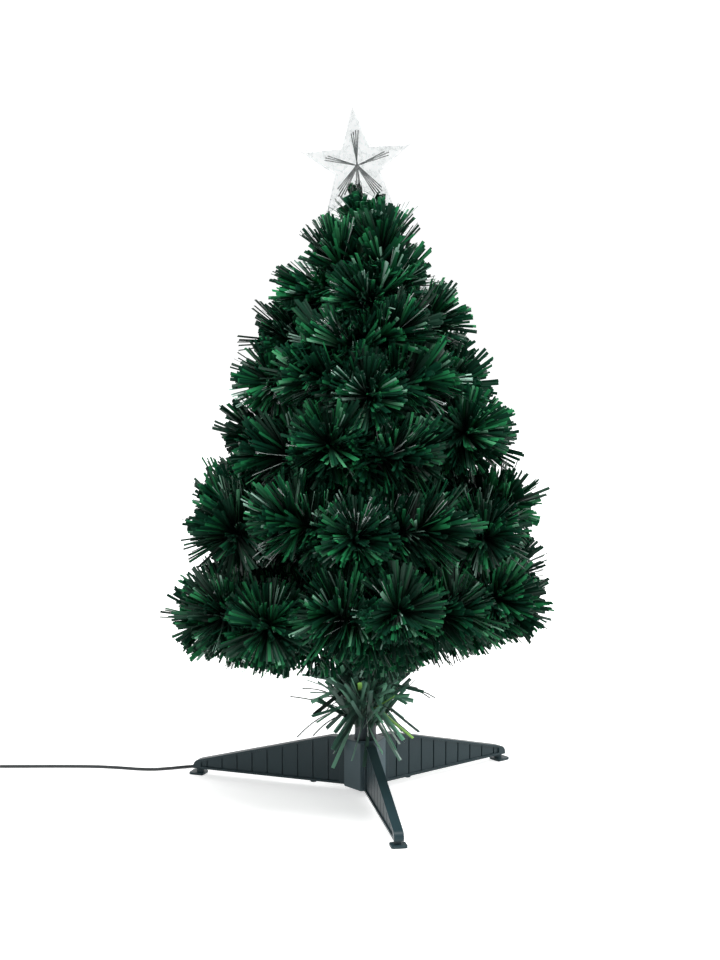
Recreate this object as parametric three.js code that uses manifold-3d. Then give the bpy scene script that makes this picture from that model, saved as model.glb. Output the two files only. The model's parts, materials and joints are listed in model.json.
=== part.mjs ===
// A table-top artificial Christmas tree with fibre-optic lighting, on a three-legged plug-in stand.
// Millimetres, +Z up. The origin is on the floor under the trunk's axis, and the front faces -Y.
// Angles are in degrees and count from +X towards +Y.
import * as THREE from 'three';
import { mergeVertices } from 'three/addons/utils/BufferGeometryUtils.js';
import Module from 'manifold-3d';

const wasm = await Module();
wasm.setup();

// Clearances
const fitGap = 0.3; // between two pieces that touch
const overrun = 1; // how far a cutter passes the face that it opens
const weld = 0.6; // how deep two shapes of one moulding run into each other

// Stand: the legs
const legs = { front: -80.4, right: 39.6, left: 159.6 }; // the direction of each leg
const legReach = 176; // from the axis to a leg's end
const legBottom = 5.8; // the leg's underside above the floor
const legTop = 51.6; // the leg's upper edge beside the hub
const legShoulder = 34; // how far the upper edge runs level before it slopes
const legTipTop = 13.2; // the upper edge at the leg's end
const legTipRound = 6; // the round at the leg's upper outer corner
const legWidth = 9; // over the flanges
const legFlange = 2.2; // thickness of the top and bottom flange
const legPanelWidth = 6; // over the two flat side panels between the flanges
const legRootBlock = 6; // full-width block next to the hub
const grooveFirst = 36; // the first groove's distance from the axis
const grooveEndInset = 14.5; // from the last groove to the leg's end
const grooveCount = 9;
const grooveWidth = 1.3;
const grooveDepth = 1.1;
const studRadius = 3.1; // a moulded stud under each leg
const studHeight = 1.8;
const studDistance = 52.5;

// Stand: the tongue with which a leg slides up into the hub
const tongueHeight = 39;
const tongueNeckWidth = 4.4;
const tongueNeckLength = 2.9;
const tongueHeadWidth = 8.8;
const tongueHeadDepth = 2.6;

// Stand: the feet
const footInset = 6; // from a foot's peg to the leg's end
const footPlateOffset = 2; // how far the plate's middle lies outside the peg
const footSide = 15;
const footPlate = 2.2;
const footCorner = 3;
const footPegRadius = 2.6;
const footPegDepth = 4; // how far the peg goes up into the leg

// Stand: the hub
const hubBottom = 5;
const hubTop = 51.6;
const hubFaceDistance = 16; // from the axis to each wide face
const hubFaceWidth = 24;
const hubEdge = 0.7; // chamfer
const socketRadius = 10.5; // the bore that the trunk stands in
const ledgeBottom = 27; // the ledge in the bore that carries the trunk
const ledgeTop = 29;
const ledgeRadius = 8.6;

// The light source in the hub
const lampWall = 1.4;
const lampBaseThickness = 1.6;
const boardRadius = 8.3;
const boardThickness = 1.2;
const boardHeight = 20; // its underside above the floor
const lensRadius = 5;
const lensHeight = 3.6;
const baseCapThickness = 2.8;

// The cord: its outlet, its stretch on the floor and its coil
const cordDiameter = 3;
const cordSides = 8;
const cordStep = 9;
const outletTurn = 99.6; // the direction of the hub face that the cord leaves
const outletHeight = 16;
const reliefRootRadius = 3;
const reliefCollarRadius = 4.3;
const reliefCollarLength = 2.4;
const reliefTipRadius = 2.2;
const reliefLength = 20; // outside the hub
const routeUnit = 10; // the route's points are counted in this length
// The cord's way from the hub, behind the left leg and along the floor, chosen by hand.
const cordRouteShares = [
  [-0.86, 4.8, 1.38], [-1.15, 5.6, 0.9], [-1.65, 6.3, 0.46], [-2.4, 6.9, 0.22],
  [-3.4, 7.4, 0.15], [-5, 7.9, 0.15], [-7.5, 8.4, 0.15], [-10.5, 8.6, 0.15],
  [-13.5, 8.45, 0.15], [-16, 8.05, 0.15], [-17.5, 7.65, 0.15], [-19, 7.15, 0.15],
  [-20.5, 6.8, 0.15], [-22.1, 6.9, 0.15], [-23.7, 7.3, 0.15], [-25.5, 7.65, 0.15],
  [-27.1, 7.8, 0.15], [-30, 7.85, 0.15], [-33, 7.82, 0.15], [-36, 7.8, 0.15],
  [-38.5, 7.79, 0.19], [-40.2, 7.79, 0.26],
];
const coilX = -416;
const coilY = 57;
const coilOuterRadius = 20.9; // at the middle of the outermost turn
const coilPitch = 3.5; // from turn to turn, sideways and upwards
const coilLayers = 4;
const coilTurnsPerLayer = 2.5;
const coilStepsPerTurn = 24;
const coilSides = 6;
const tieThickness = 0.8;
const tieWidth = 6;
const tieTurn = 215; // where the tie goes round the turns

// The plug-in adaptor at the cord's end
const adaptorLength = 58; // along the cord
const adaptorWidth = 38; // upwards, as it lies on its side
const adaptorDepth = 20;
const adaptorCoverDepth = 8;
const adaptorRound = 4;
const adaptorGapToCoil = 24; // from the coil's centre line to the adaptor's relief
const adaptorReliefLength = 20;
const adaptorReliefRadius = 4;
const pinRadius = 2;
const pinLength = 19;
const pinSpacing = 19;
const pinSeat = 4;
const pinFromEnd = 16;

// The trunk
const trunkRadius = 10.2;
const trunkWall = 1.8;
const trunkTop = 490;
const trunkSides = 12;
const bindingRadius = 13; // the wound tape that holds a row's wires
const bindingHeight = 14;
const rootDepth = 3; // how far a branch wire goes into its binding
const pocketSides = 6;
const ferruleLength = 18;
const bundleRadius = 7;
const bundleTopRadius = 2.5;
const bundleEndGap = 12;

// The loose needles round the lower trunk and at the crown
const wrapBottom = 76;
const wrapTop = 100;
const wrapThickness = 2.4;
const wrapNeedles = 34;
const wrapNeedleLength = 44;
const wrapRises = [64, 8, 64, -42]; // degrees: steep ones that hug the trunk, level ones and drooping ones
const wrapScatter = 9; // degrees
const wrapCeiling = 130; // they end below the lowest row when it is bent down
const needleThick = 2.6; // a needle bundle's width where it starts
const crownHeight = 35; // the crown ring above the trunk's top
const crownRingHeight = 8;
const crownNeedles = 18;
const crownNeedleLength = 40;

// Branches: each wire forks into two or three brush-shaped tips
const wireRadius = 2.1;
const twigRadius = 1.7;
const wireSides = 5;
const twigSides = 4;
const tuftReach = 43; // the longest needles of a tip, from its middle
const tuftCoreRadius = 11;
const tuftCoreLength = 16; // half of the core's length along the wire
const tuftSides = 5;
const tuftClear = 0.8; // kept free on each side of the plane between the needles of two tips
const needleShortest = 4;
const siteSpacing = 12; // how closely the wires are sampled when needles are kept apart
// Each row: the height and distance of its tips and the height of its wires' start, as shares of the
// trunk's height, and how the row is turned. The needles of a tip lean towards its end by the sweep and
// upwards by the rise, and the lift of each tip is a share of tuftReach, as branches are bent by hand.
const rowShares = [
  {
    name: 'row1', wires: 5, tips: 3, heightShare: 0.382, outShare: 0.288, rootShare: 0.306, turn: -78,
    sweepShare: 0.32, riseShare: 0,
    liftShares: [0.22, 0.3, 0.14, 0.3, -0.05, 0.36, 0.12, -0.1, 0.14, -0.08, 0.1, -0.2, -0.22, 0.12, -0.14],
  },
  {
    name: 'row2', wires: 4, tips: 3, heightShare: 0.551, outShare: 0.253, rootShare: 0.486, turn: -94,
    sweepShare: 0.32, riseShare: 0.06,
    liftShares: [0.25, -0.06, 0.04, -0.3, 0, -0.3, -0.2, 0.16, -0.1, 0.2, -0.08, -0.28],
  },
  {
    name: 'row3', wires: 3, tips: 3, heightShare: 0.694, outShare: 0.2, rootShare: 0.637, turn: -108,
    sweepShare: 0.32, riseShare: 0.12,
    liftShares: [-0.25, 0.16, -0.12, 0.2, -0.12, 0.16, -0.1, 0.14, -0.04],
  },
  {
    name: 'row4', wires: 3, tips: 3, heightShare: 0.8, outShare: 0.159, rootShare: 0.747, turn: -88,
    sweepShare: 0.36, riseShare: 0.18,
    liftShares: [0.22, -0.1, 0.16, -0.16, 0.08, -0.1, 0.16, -0.12, -0.02],
  },
  {
    name: 'row5', wires: 3, tips: 2, heightShare: 0.886, outShare: 0.124, rootShare: 0.841, turn: -90,
    sweepShare: 0.44, riseShare: 0.24,
    liftShares: [-0.16, 0.16, 0.24, -0.1, 0.14, -0.2],
  },
  {
    name: 'row6', wires: 2, tips: 2, heightShare: 0.966, outShare: 0.088, rootShare: 0.918, turn: -50,
    sweepShare: 0.6, riseShare: 0.3,
    liftShares: [-0.2, 0.16, 0.1, -0.14],
  },
  {
    name: 'row7', wires: 3, tips: 1, heightShare: 1.044, outShare: 0.046, rootShare: 0.971, turn: -30,
    sweepShare: 0.85, riseShare: 0.36,
    liftShares: [0.12, -0.08, 0],
  },
];
const rows = rowShares.map((row) => ({
  ...row,
  height: row.heightShare * trunkTop,
  out: row.outShare * trunkTop,
  root: row.rootShare * trunkTop,
}));
const forkShare = 0.45; // where a wire forks, as a share of its way out
const bendShare = 0.55; // how far a wire runs nearly level before it rises, as a share

// The star and the stem that it stands on
const starTilt = -4.5; // the stem leans to the left, as seen from the front
const starCentre = 97.4; // above the trunk's top, along the stem
const starRadius = 53;
const starInnerRadius = 21.5;
const starBulge = 8.5; // each half shell's height at the middle
const starRim = 1.3;
const starWall = 1.4;
const stemRadius = 3;
const stemBottom = 8; // above the trunk's top
const stemInStar = 8; // how far the stem goes up into the star
const fibreWidth = 1.2;
const fibreBundleRadius = 2;
const fibreKnotRadius = 2.6;
const fibreShare = 0.58; // how far the fibres reach into each arm, as a share
const fibresPerArm = 4;
const fibreSpread = 6; // degrees between the fibres of one arm
const capRadius = 12.6;
const capSkirt = 12;
const capNeckRadius = 6.2;
const capShoulder = 5;
const capTiltRoom = 1; // room for the trunk's end under the leaning cap

const finishes = {
  needles: { color: '#12512e', roughness: 0.5, metalness: 0 },
  looseNeedles: { color: '#1f6f3c', roughness: 0.5, metalness: 0 },
  stand: { color: '#2c3437', roughness: 0.42, metalness: 0 },
  trunk: { color: '#3a4246', roughness: 0.5, metalness: 0 },
  tape: { color: '#16351f', roughness: 0.6, metalness: 0 },
  clear: { color: '#e9eef0', roughness: 0.08, metalness: 0, transparent: true, opacity: 0.4 },
  fibre: { color: '#dfe6e6', roughness: 0.15, metalness: 0, transparent: true, opacity: 0.7 },
  cord: { color: '#23282a', roughness: 0.5, metalness: 0 },
  adaptor: { color: '#1d2022', roughness: 0.45, metalness: 0 },
  board: { color: '#1f5b3a', roughness: 0.5, metalness: 0 },
  ferrule: { color: '#b9bdbf', roughness: 0.3, metalness: 1 },
  pin: { color: '#c2c4c3', roughness: 0.25, metalness: 1 },
};

const fullTurn = 2 * Math.PI;
const up = new THREE.Vector3(0, 0, 1);

function radians(degrees) {
  return THREE.MathUtils.degToRad(degrees);
}

// The point at a direction, a distance from the axis and a height.
function polar(turn, distance, height) {
  return new THREE.Vector3(distance * Math.cos(radians(turn)), distance * Math.sin(radians(turn)), height);
}

// A closed geometry with shared corners and its faces pointing out.
function closed(geometry) {
  const bare = geometry.index ? geometry.toNonIndexed() : geometry;
  bare.deleteAttribute('normal');
  bare.deleteAttribute('uv');
  const merged = mergeVertices(bare, 1e-4);
  const p = merged.attributes.position;
  const index = [];
  for (let i = 0; i < merged.index.count; i += 3) {
    const [a, b, c] = [merged.index.getX(i), merged.index.getX(i + 1), merged.index.getX(i + 2)];
    if (a !== b && b !== c && c !== a) index.push([a, b, c]);
  }
  const corner = (i) => new THREE.Vector3().fromBufferAttribute(p, i);
  const volume = index.reduce((sum, [a, b, c]) => sum + corner(a).dot(corner(b).cross(corner(c))), 0);
  merged.setIndex(index.flatMap(([a, b, c]) => (volume < 0 ? [a, c, b] : [a, b, c])));
  return merged;
}

function solid(geometry) {
  const shape = closed(geometry);
  return new wasm.Manifold(new wasm.Mesh({
    numProp: 3,
    vertProperties: new Float32Array(shape.attributes.position.array),
    triVerts: new Uint32Array(shape.index.array),
  }));
}

function surface(manifold) {
  const mesh = manifold.getMesh();
  const geometry = new THREE.BufferGeometry();
  geometry.setAttribute('position', new THREE.Float32BufferAttribute(mesh.vertProperties, 3));
  geometry.setIndex(Array.from(mesh.triVerts));
  return geometry;
}

function join(geometries) {
  return surface(geometries.map(solid).reduce((whole, next) => whole.add(next)));
}

function cut(geometry, cutters) {
  return surface(cutters.map(solid).reduce((left, next) => left.subtract(next), solid(geometry)));
}

// A body of revolution about Z. The profile's points are [radius, height].
function revolve(profile, sides) {
  const points = profile.map(([r, z]) => new THREE.Vector2(r, z));
  return new THREE.LatheGeometry(points, sides).rotateX(Math.PI / 2);
}

// A tube about Z between two radii and two heights.
function ring(inner, outer, low, high, sides) {
  return revolve([[inner, low], [outer, low], [outer, high], [inner, high], [inner, low]], sides);
}

function disc(radius, low, high, sides) {
  return revolve([[0, low], [radius, low], [radius, high], [0, high]], sides);
}

// An outline in plan, given as [x, y] points, raised from one height to another.
function raise(outline, low, high) {
  const shape = new THREE.Shape(outline.map(([x, y]) => new THREE.Vector2(x, y)));
  return new THREE.ExtrudeGeometry(shape, { depth: high - low, bevelEnabled: false }).translate(0, 0, low);
}

// An outline in side view, x outwards and y upwards, made into a plate centred on the XZ plane.
function plate(shape, width, curveSegments) {
  return new THREE.ExtrudeGeometry(shape, { depth: width, bevelEnabled: false, curveSegments })
    .rotateX(Math.PI / 2).translate(0, width / 2, 0);
}

// A round bar between two points.
function bar(from, to, radius, sides) {
  const way = new THREE.Vector3().subVectors(to, from);
  const geometry = new THREE.CylinderGeometry(radius, radius, way.length(), sides);
  geometry.rotateX(Math.PI / 2).translate(0, 0, way.length() / 2);
  geometry.applyQuaternion(new THREE.Quaternion().setFromUnitVectors(up, way.normalize()));
  return geometry.translate(from.x, from.y, from.z);
}

// A tube along a curve.
function tube(curve, radius, steps, sides) {
  const section = new THREE.Shape(Array.from({ length: sides }, (_, i) => {
    const turn = ((i + 0.5) / sides) * fullTurn;
    return new THREE.Vector2(radius * Math.cos(turn), radius * Math.sin(turn));
  }));
  return new THREE.ExtrudeGeometry(section, { steps, extrudePath: curve, bevelEnabled: false });
}

// A tube through points that never run straight up, each ring upright and square to its way.
function sweep(points, radius, sides) {
  const rings = points.map((point, i) => {
    const before = points[Math.max(i - 1, 0)];
    const after = points[Math.min(i + 1, points.length - 1)];
    const way = new THREE.Vector3().subVectors(after, before).normalize();
    const across = new THREE.Vector3().crossVectors(way, up).normalize();
    const over = new THREE.Vector3().crossVectors(across, way);
    return Array.from({ length: sides }, (_, j) => {
      const turn = ((j + 0.5) / sides) * fullTurn;
      return point.clone().addScaledVector(across, radius * Math.cos(turn))
        .addScaledVector(over, radius * Math.sin(turn));
    });
  });
  const faces = [];
  rings.slice(1).forEach((next, i) => {
    const here = rings[i];
    for (let j = 0; j < sides; j += 1) {
      const k = (j + 1) % sides;
      faces.push(here[j], here[k], next[k], here[j], next[k], next[j]);
    }
  });
  for (const [end, rim] of [[points[0], rings[0]], [points.at(-1), rings.at(-1)]]) {
    rim.forEach((corner, j) => {
      const other = rim[(j + 1) % sides];
      faces.push(end, ...(end === points[0] ? [other, corner] : [corner, other]));
    });
  }
  return new THREE.BufferGeometry().setFromPoints(faces);
}

// A slender three-sided spike: a small bundle of needles.
function spike(from, direction, length, width) {
  const tip = from.clone().addScaledVector(direction, length);
  const side = new THREE.Vector3().crossVectors(direction, Math.abs(direction.z) < 0.9 ? up : new THREE.Vector3(1, 0, 0));
  side.normalize();
  const base = [0, 1, 2].map((i) => from.clone().addScaledVector(
    side.clone().applyAxisAngle(direction, (i * fullTurn) / 3), width / 2));
  const faces = [[0, 2, 1], [0, 1, 3], [1, 2, 3], [2, 0, 3]];
  const corners = [...base, tip];
  const geometry = new THREE.BufferGeometry();
  geometry.setFromPoints(faces.flat().map((i) => corners[i]));
  return geometry;
}

const tree = new THREE.Group();

function place(name, geometry, finish, group = tree) {
  const mesh = new THREE.Mesh(closed(geometry), new THREE.MeshStandardMaterial(finish));
  mesh.name = name;
  group.add(mesh);
  return mesh;
}

// Stand: how the legs meet the hub

const footDistance = legReach - footInset;
const groovePitch = (legReach - grooveEndInset - grooveFirst) / (grooveCount - 1);
const hubCornerRadius = Math.hypot(hubFaceDistance, hubFaceWidth / 2);
const hubCornerTurn = THREE.MathUtils.radToDeg(Math.atan2(hubFaceWidth / 2, hubFaceDistance));
const legFace = hubCornerRadius * Math.cos(radians(60 - hubCornerTurn)); // the hub's narrow faces
const legRoot = legFace + fitGap;
const tongueTop = legBottom + tongueHeight;

// The tongue's T-shaped outline in plan, grown by a clearance for the slot.
function tongueOutline(grow, outer) {
  const neck = tongueNeckWidth / 2 + grow;
  const head = tongueHeadWidth / 2 + grow;
  const headOuter = legFace - tongueNeckLength + grow;
  const headInner = legFace - tongueNeckLength - tongueHeadDepth - grow;
  return [
    [outer, -neck], [outer, neck], [headOuter, neck], [headOuter, head],
    [headInner, head], [headInner, -head], [headOuter, -head], [headOuter, -neck],
  ];
}

// The height of a leg's upper edge at a distance from the axis.
function legEdge(distance) {
  const share = Math.max(0, (distance - legShoulder) / (legReach - legShoulder));
  return legTop + (legTipTop - legTop) * share;
}

function legOutline() {
  const tipStart = legReach - legTipRound;
  const shape = new THREE.Shape();
  shape.moveTo(legRoot, legBottom);
  shape.lineTo(legReach, legBottom);
  shape.lineTo(legReach, legEdge(legReach) - legTipRound);
  shape.quadraticCurveTo(legReach, legEdge(legReach), tipStart, legEdge(tipStart));
  shape.lineTo(legShoulder, legTop);
  shape.lineTo(legRoot, legTop);
  return shape;
}

// The recess between the flanges on one side of a leg.
function recessOutline() {
  const start = legRoot + legRootBlock;
  const end = legReach - legTipRound - legFlange;
  const low = legBottom + legFlange;
  const shape = new THREE.Shape();
  shape.moveTo(start, low);
  shape.lineTo(end, low);
  shape.lineTo(end, legEdge(end) - legFlange);
  shape.lineTo(legShoulder, legTop - legFlange);
  shape.lineTo(start, legTop - legFlange);
  return shape;
}

function legGeometry() {
  const recessDepth = (legWidth - legPanelWidth) / 2;
  const cutters = [];
  for (const side of [-1, 1]) {
    const recess = plate(recessOutline(), recessDepth + overrun, 1);
    recess.translate(0, (side * (legPanelWidth + recessDepth + overrun)) / 2, 0);
    cutters.push(recess);
    for (let i = 0; i < grooveCount; i += 1) {
      const at = grooveFirst + i * groovePitch;
      const low = legBottom + legFlange;
      const high = legEdge(at + grooveWidth) - legFlange;
      const depth = grooveDepth + recessDepth;
      const groove = new THREE.BoxGeometry(grooveWidth, depth, high - low);
      groove.translate(at, side * (legPanelWidth / 2 - grooveDepth + depth / 2), (low + high) / 2);
      cutters.push(groove);
    }
  }
  cutters.push(disc(footPegRadius + fitGap, legBottom - overrun, legBottom + footPegDepth, 12)
    .translate(footDistance, 0, 0));
  const tongue = raise(tongueOutline(0, legRoot + weld), legBottom, tongueTop);
  const stud = disc(studRadius, legBottom - studHeight, legBottom + weld, 10).translate(studDistance, 0, 0);
  return cut(join([plate(legOutline(), legWidth, 4), tongue, stud]), cutters);
}

// A foot: a rounded square plate with the peg that carries the leg.
function footGeometry() {
  const half = footSide / 2;
  const shape = new THREE.Shape();
  shape.moveTo(-half + footCorner, -half);
  shape.lineTo(half - footCorner, -half);
  shape.quadraticCurveTo(half, -half, half, -half + footCorner);
  shape.lineTo(half, half - footCorner);
  shape.quadraticCurveTo(half, half, half - footCorner, half);
  shape.lineTo(-half + footCorner, half);
  shape.quadraticCurveTo(-half, half, -half, half - footCorner);
  shape.lineTo(-half, -half + footCorner);
  shape.quadraticCurveTo(-half, -half, -half + footCorner, -half);
  const foot = new THREE.ExtrudeGeometry(shape, { depth: footPlate, bevelEnabled: false, curveSegments: 3 })
    .translate(footPlateOffset, 0, 0);
  const peg = disc(footPegRadius, footPlate - weld, legBottom + footPegDepth - fitGap, 12);
  const seat = disc(footPegRadius + 2 * fitGap + weld, footPlate - weld, legBottom - fitGap, 12);
  return join([foot, seat, peg]);
}

function hubGeometry() {
  const corners = Object.values(legs).flatMap((turn) => {
    const face = turn + 60;
    return [polar(face - hubCornerTurn, hubCornerRadius, 0), polar(face + hubCornerTurn, hubCornerRadius, 0)];
  });
  const shape = new THREE.Shape(corners.map((p) => new THREE.Vector2(p.x, p.y)));
  const body = new THREE.ExtrudeGeometry(shape, {
    depth: hubTop - hubBottom - 2 * hubEdge,
    bevelThickness: hubEdge,
    bevelSize: hubEdge,
    bevelOffset: -hubEdge,
    bevelSegments: 1,
  }).translate(0, 0, hubBottom + hubEdge);
  const bore = revolve([
    [0, hubBottom - overrun], [socketRadius, hubBottom - overrun], [socketRadius, ledgeBottom],
    [ledgeRadius, ledgeBottom], [ledgeRadius, ledgeTop], [socketRadius, ledgeTop],
    [socketRadius, hubTop + overrun], [0, hubTop + overrun],
  ], 24);
  const slots = Object.values(legs).map((turn) => raise(
    tongueOutline(fitGap, hubCornerRadius + overrun), hubBottom - overrun, tongueTop + fitGap,
  ).rotateZ(radians(turn)));
  const outlet = bar(
    polar(outletTurn, socketRadius - overrun, outletHeight),
    polar(outletTurn, hubFaceDistance + overrun, outletHeight), reliefRootRadius + fitGap, 12,
  );
  return cut(body, [bore, ...slots, outlet]);
}

place('stand_hub', hubGeometry(), finishes.stand);
for (const [side, turn] of Object.entries(legs)) {
  const leg = new THREE.Group();
  leg.rotation.z = radians(turn);
  tree.add(leg);
  place(`leg_${side}`, legGeometry(), finishes.stand, leg);
  place(`foot_${side}`, footGeometry(), finishes.stand, leg).position.x = footDistance;
}

// The light source, which goes up into the hub from below

const lampRadius = socketRadius - fitGap;
const baseCapTop = hubBottom + fitGap + baseCapThickness;
const lampBottom = baseCapTop + fitGap;
const lampTop = ledgeBottom - fitGap;
const boardLedge = boardHeight - fitGap;

place('lamp_base_cap', disc(lampRadius, hubBottom + fitGap, baseCapTop, 24), finishes.stand);
place('lamp_housing', revolve([
  [0, lampBottom], [lampRadius, lampBottom], [lampRadius, lampTop], [lampRadius - lampWall, lampTop],
  [lampRadius - lampWall, boardLedge], [lampRadius - 2 * lampWall, boardLedge],
  [lampRadius - 2 * lampWall, lampBottom + lampBaseThickness], [0, lampBottom + lampBaseThickness],
], 24), finishes.adaptor);
place('lamp_board', disc(boardRadius, boardHeight, boardHeight + boardThickness, 20), finishes.board);

const lensBottom = boardHeight + boardThickness + fitGap;
const lensProfile = [[0, lensBottom], [lensRadius, lensBottom]];
const lensSteps = 5;
for (let i = 1; i <= lensSteps; i += 1) {
  const turn = radians((90 * i) / lensSteps);
  const radius = i === lensSteps ? 0 : lensRadius * Math.cos(turn);
  lensProfile.push([radius, lensBottom + lensHeight * Math.sin(turn)]);
}
place('lamp_lens', revolve(lensProfile, 12), finishes.clear);

// The trunk, with a binding of tape where each row's wires start

const trunkBottom = ledgeTop + fitGap;
const trunkInside = trunkRadius - trunkWall;
const pocketRadius = (wireRadius + fitGap) / Math.cos(Math.PI / pocketSides); // clear of its facets

// A branch's root: where its wire's axis enters the binding.
function rootOf(row, wire) {
  const turn = row.turn + (360 * wire) / row.wires;
  return { turn, foot: polar(turn, bindingRadius - rootDepth, row.root) };
}

function trunkGeometry() {
  const profile = [[trunkInside, trunkBottom], [trunkRadius, trunkBottom]];
  for (const row of rows) {
    const [low, high] = [row.root - bindingHeight / 2, row.root + bindingHeight / 2];
    profile.push([trunkRadius, low], [bindingRadius, low + fitGap], [bindingRadius, high - fitGap], [trunkRadius, high]);
  }
  profile.push([trunkRadius, trunkTop], [trunkInside, trunkTop], [trunkInside, trunkBottom]);
  const pockets = rows.flatMap((row) => Array.from({ length: row.wires }, (_, wire) => {
    const { turn, foot } = rootOf(row, wire);
    return bar(foot, polar(turn, bindingRadius + overrun, row.root), pocketRadius, pocketSides);
  }));
  return cut(revolve(profile, trunkSides), pockets);
}

place('trunk_tube', trunkGeometry(), finishes.trunk);

const ferruleBottom = trunkBottom + fitGap;
const ferruleTop = ferruleBottom + ferruleLength;
const boreRadius = trunkInside * Math.cos(Math.PI / trunkSides) - fitGap; // clear of the tube's facets
place('fibre_ferrule', ring(bundleRadius + fitGap, boreRadius, ferruleBottom, ferruleTop, 20), finishes.ferrule);

// The bundle of light fibres gets thinner where fibres leave it for each row.
const bundleProfile = [[0, ferruleBottom], [bundleRadius, ferruleBottom]];
rows.forEach((row, i) => {
  const share = (i + 1) / rows.length;
  const radius = bundleRadius + (bundleTopRadius - bundleRadius) * share;
  bundleProfile.push([bundleProfile.at(-1)[0], row.root], [radius, row.root + bindingHeight / 2]);
});
bundleProfile.push([bundleTopRadius, trunkTop - bundleEndGap], [0, trunkTop - bundleEndGap]);
place('fibre_bundle', revolve(bundleProfile, 8), finishes.fibre);

// The wires of the branches: a main wire that forks into twigs, one to each tip

function branchPlan(row, wire) {
  const { turn, foot } = rootOf(row, wire);
  const step = 360 / (row.wires * row.tips);
  const tips = Array.from({ length: row.tips }, (_, i) => {
    const lift = row.liftShares[wire * row.tips + i] * tuftReach;
    return polar(turn + (i - (row.tips - 1) / 2) * step, row.out, row.height + lift);
  });
  const middle = tips.reduce((sum, p) => sum.add(p), new THREE.Vector3()).divideScalar(tips.length);
  const face = polar(turn, bindingRadius + wireRadius, row.root);
  const bend = face.clone().lerp(middle, bendShare);
  bend.z = row.root + (middle.z - row.root) * bendShare * bendShare;
  const whole = new THREE.QuadraticBezierCurve3(face, bend, middle);
  const fork = whole.getPoint(forkShare);
  const way = whole.getTangent(forkShare);
  const twigs = tips.map((tip) => {
    const reach = fork.distanceTo(tip) / 2;
    return new THREE.QuadraticBezierCurve3(fork, fork.clone().addScaledVector(way, reach), tip);
  });
  return { name: `branch_${row.name}_${wire + 1}`, row, foot, face, whole, fork, tips, twigs };
}

const branches = rows.flatMap((row) => Array.from({ length: row.wires }, (_, wire) => branchPlan(row, wire)));

// The star's frame leans about the trunk's top, and the stem runs along its Z axis.
const starFrame = new THREE.Group();
starFrame.position.z = trunkTop;
starFrame.rotation.y = radians(starTilt);
tree.add(starFrame);
starFrame.updateMatrix();

function onStem(x, y, z) {
  return new THREE.Vector3(x, y, z).applyMatrix4(starFrame.matrix);
}

// Points that needles keep away from: no needle passes half way to a point of another piece.
const sites = [];
for (const branch of branches) {
  branch.tips.forEach((point, i) => sites.push({ point, owner: `${branch.name}/${i}` }));
  for (const curve of branch.twigs) {
    const count = Math.ceil(curve.getLength() / siteSpacing);
    curve.getPoints(count).slice(1, -1).forEach((point) => sites.push({ point, owner: branch.name }));
  }
  const count = Math.ceil(branch.face.distanceTo(branch.fork) / siteSpacing);
  for (let i = 0; i <= count; i += 1) {
    sites.push({ point: branch.face.clone().lerp(branch.fork, i / count), owner: branch.name });
  }
}
const crownTop = crownHeight + crownRingHeight;
for (let z = wrapTop; z < trunkTop; z += siteSpacing) {
  sites.push({ point: new THREE.Vector3(0, 0, z), owner: 'trunk' });
}
for (let z = 0; z < starCentre; z += siteSpacing / 2) {
  sites.push({ point: onStem(0, 0, z), owner: 'stem' });
}
for (const arm of [-126, -54]) {
  for (let out = starInnerRadius / 2; out <= starRadius; out += siteSpacing / 2) {
    const [x, z] = [out * Math.cos(radians(arm)), starCentre + out * Math.sin(radians(arm))];
    sites.push({ point: onStem(x, 0, z), owner: 'star' });
  }
}

// How long a needle may be from a point, along a direction, up to a wished length. It ends short of
// the plane half way between its home, which is its piece's own site, and every other piece's site.
function room(from, direction, wish, owners, home = from) {
  let length = wish;
  const offset = new THREE.Vector3().subVectors(from, home);
  for (const { point, owner } of sites) {
    if (owners.includes(owner)) continue;
    const apart = new THREE.Vector3().subVectors(point, home);
    const along = apart.dot(direction);
    const gap = apart.lengthSq() / 2 - offset.dot(apart) - tuftClear * apart.length();
    if (along > 0) length = Math.min(length, gap / along);
  }
  return Math.max(length, needleShortest);
}

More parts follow.
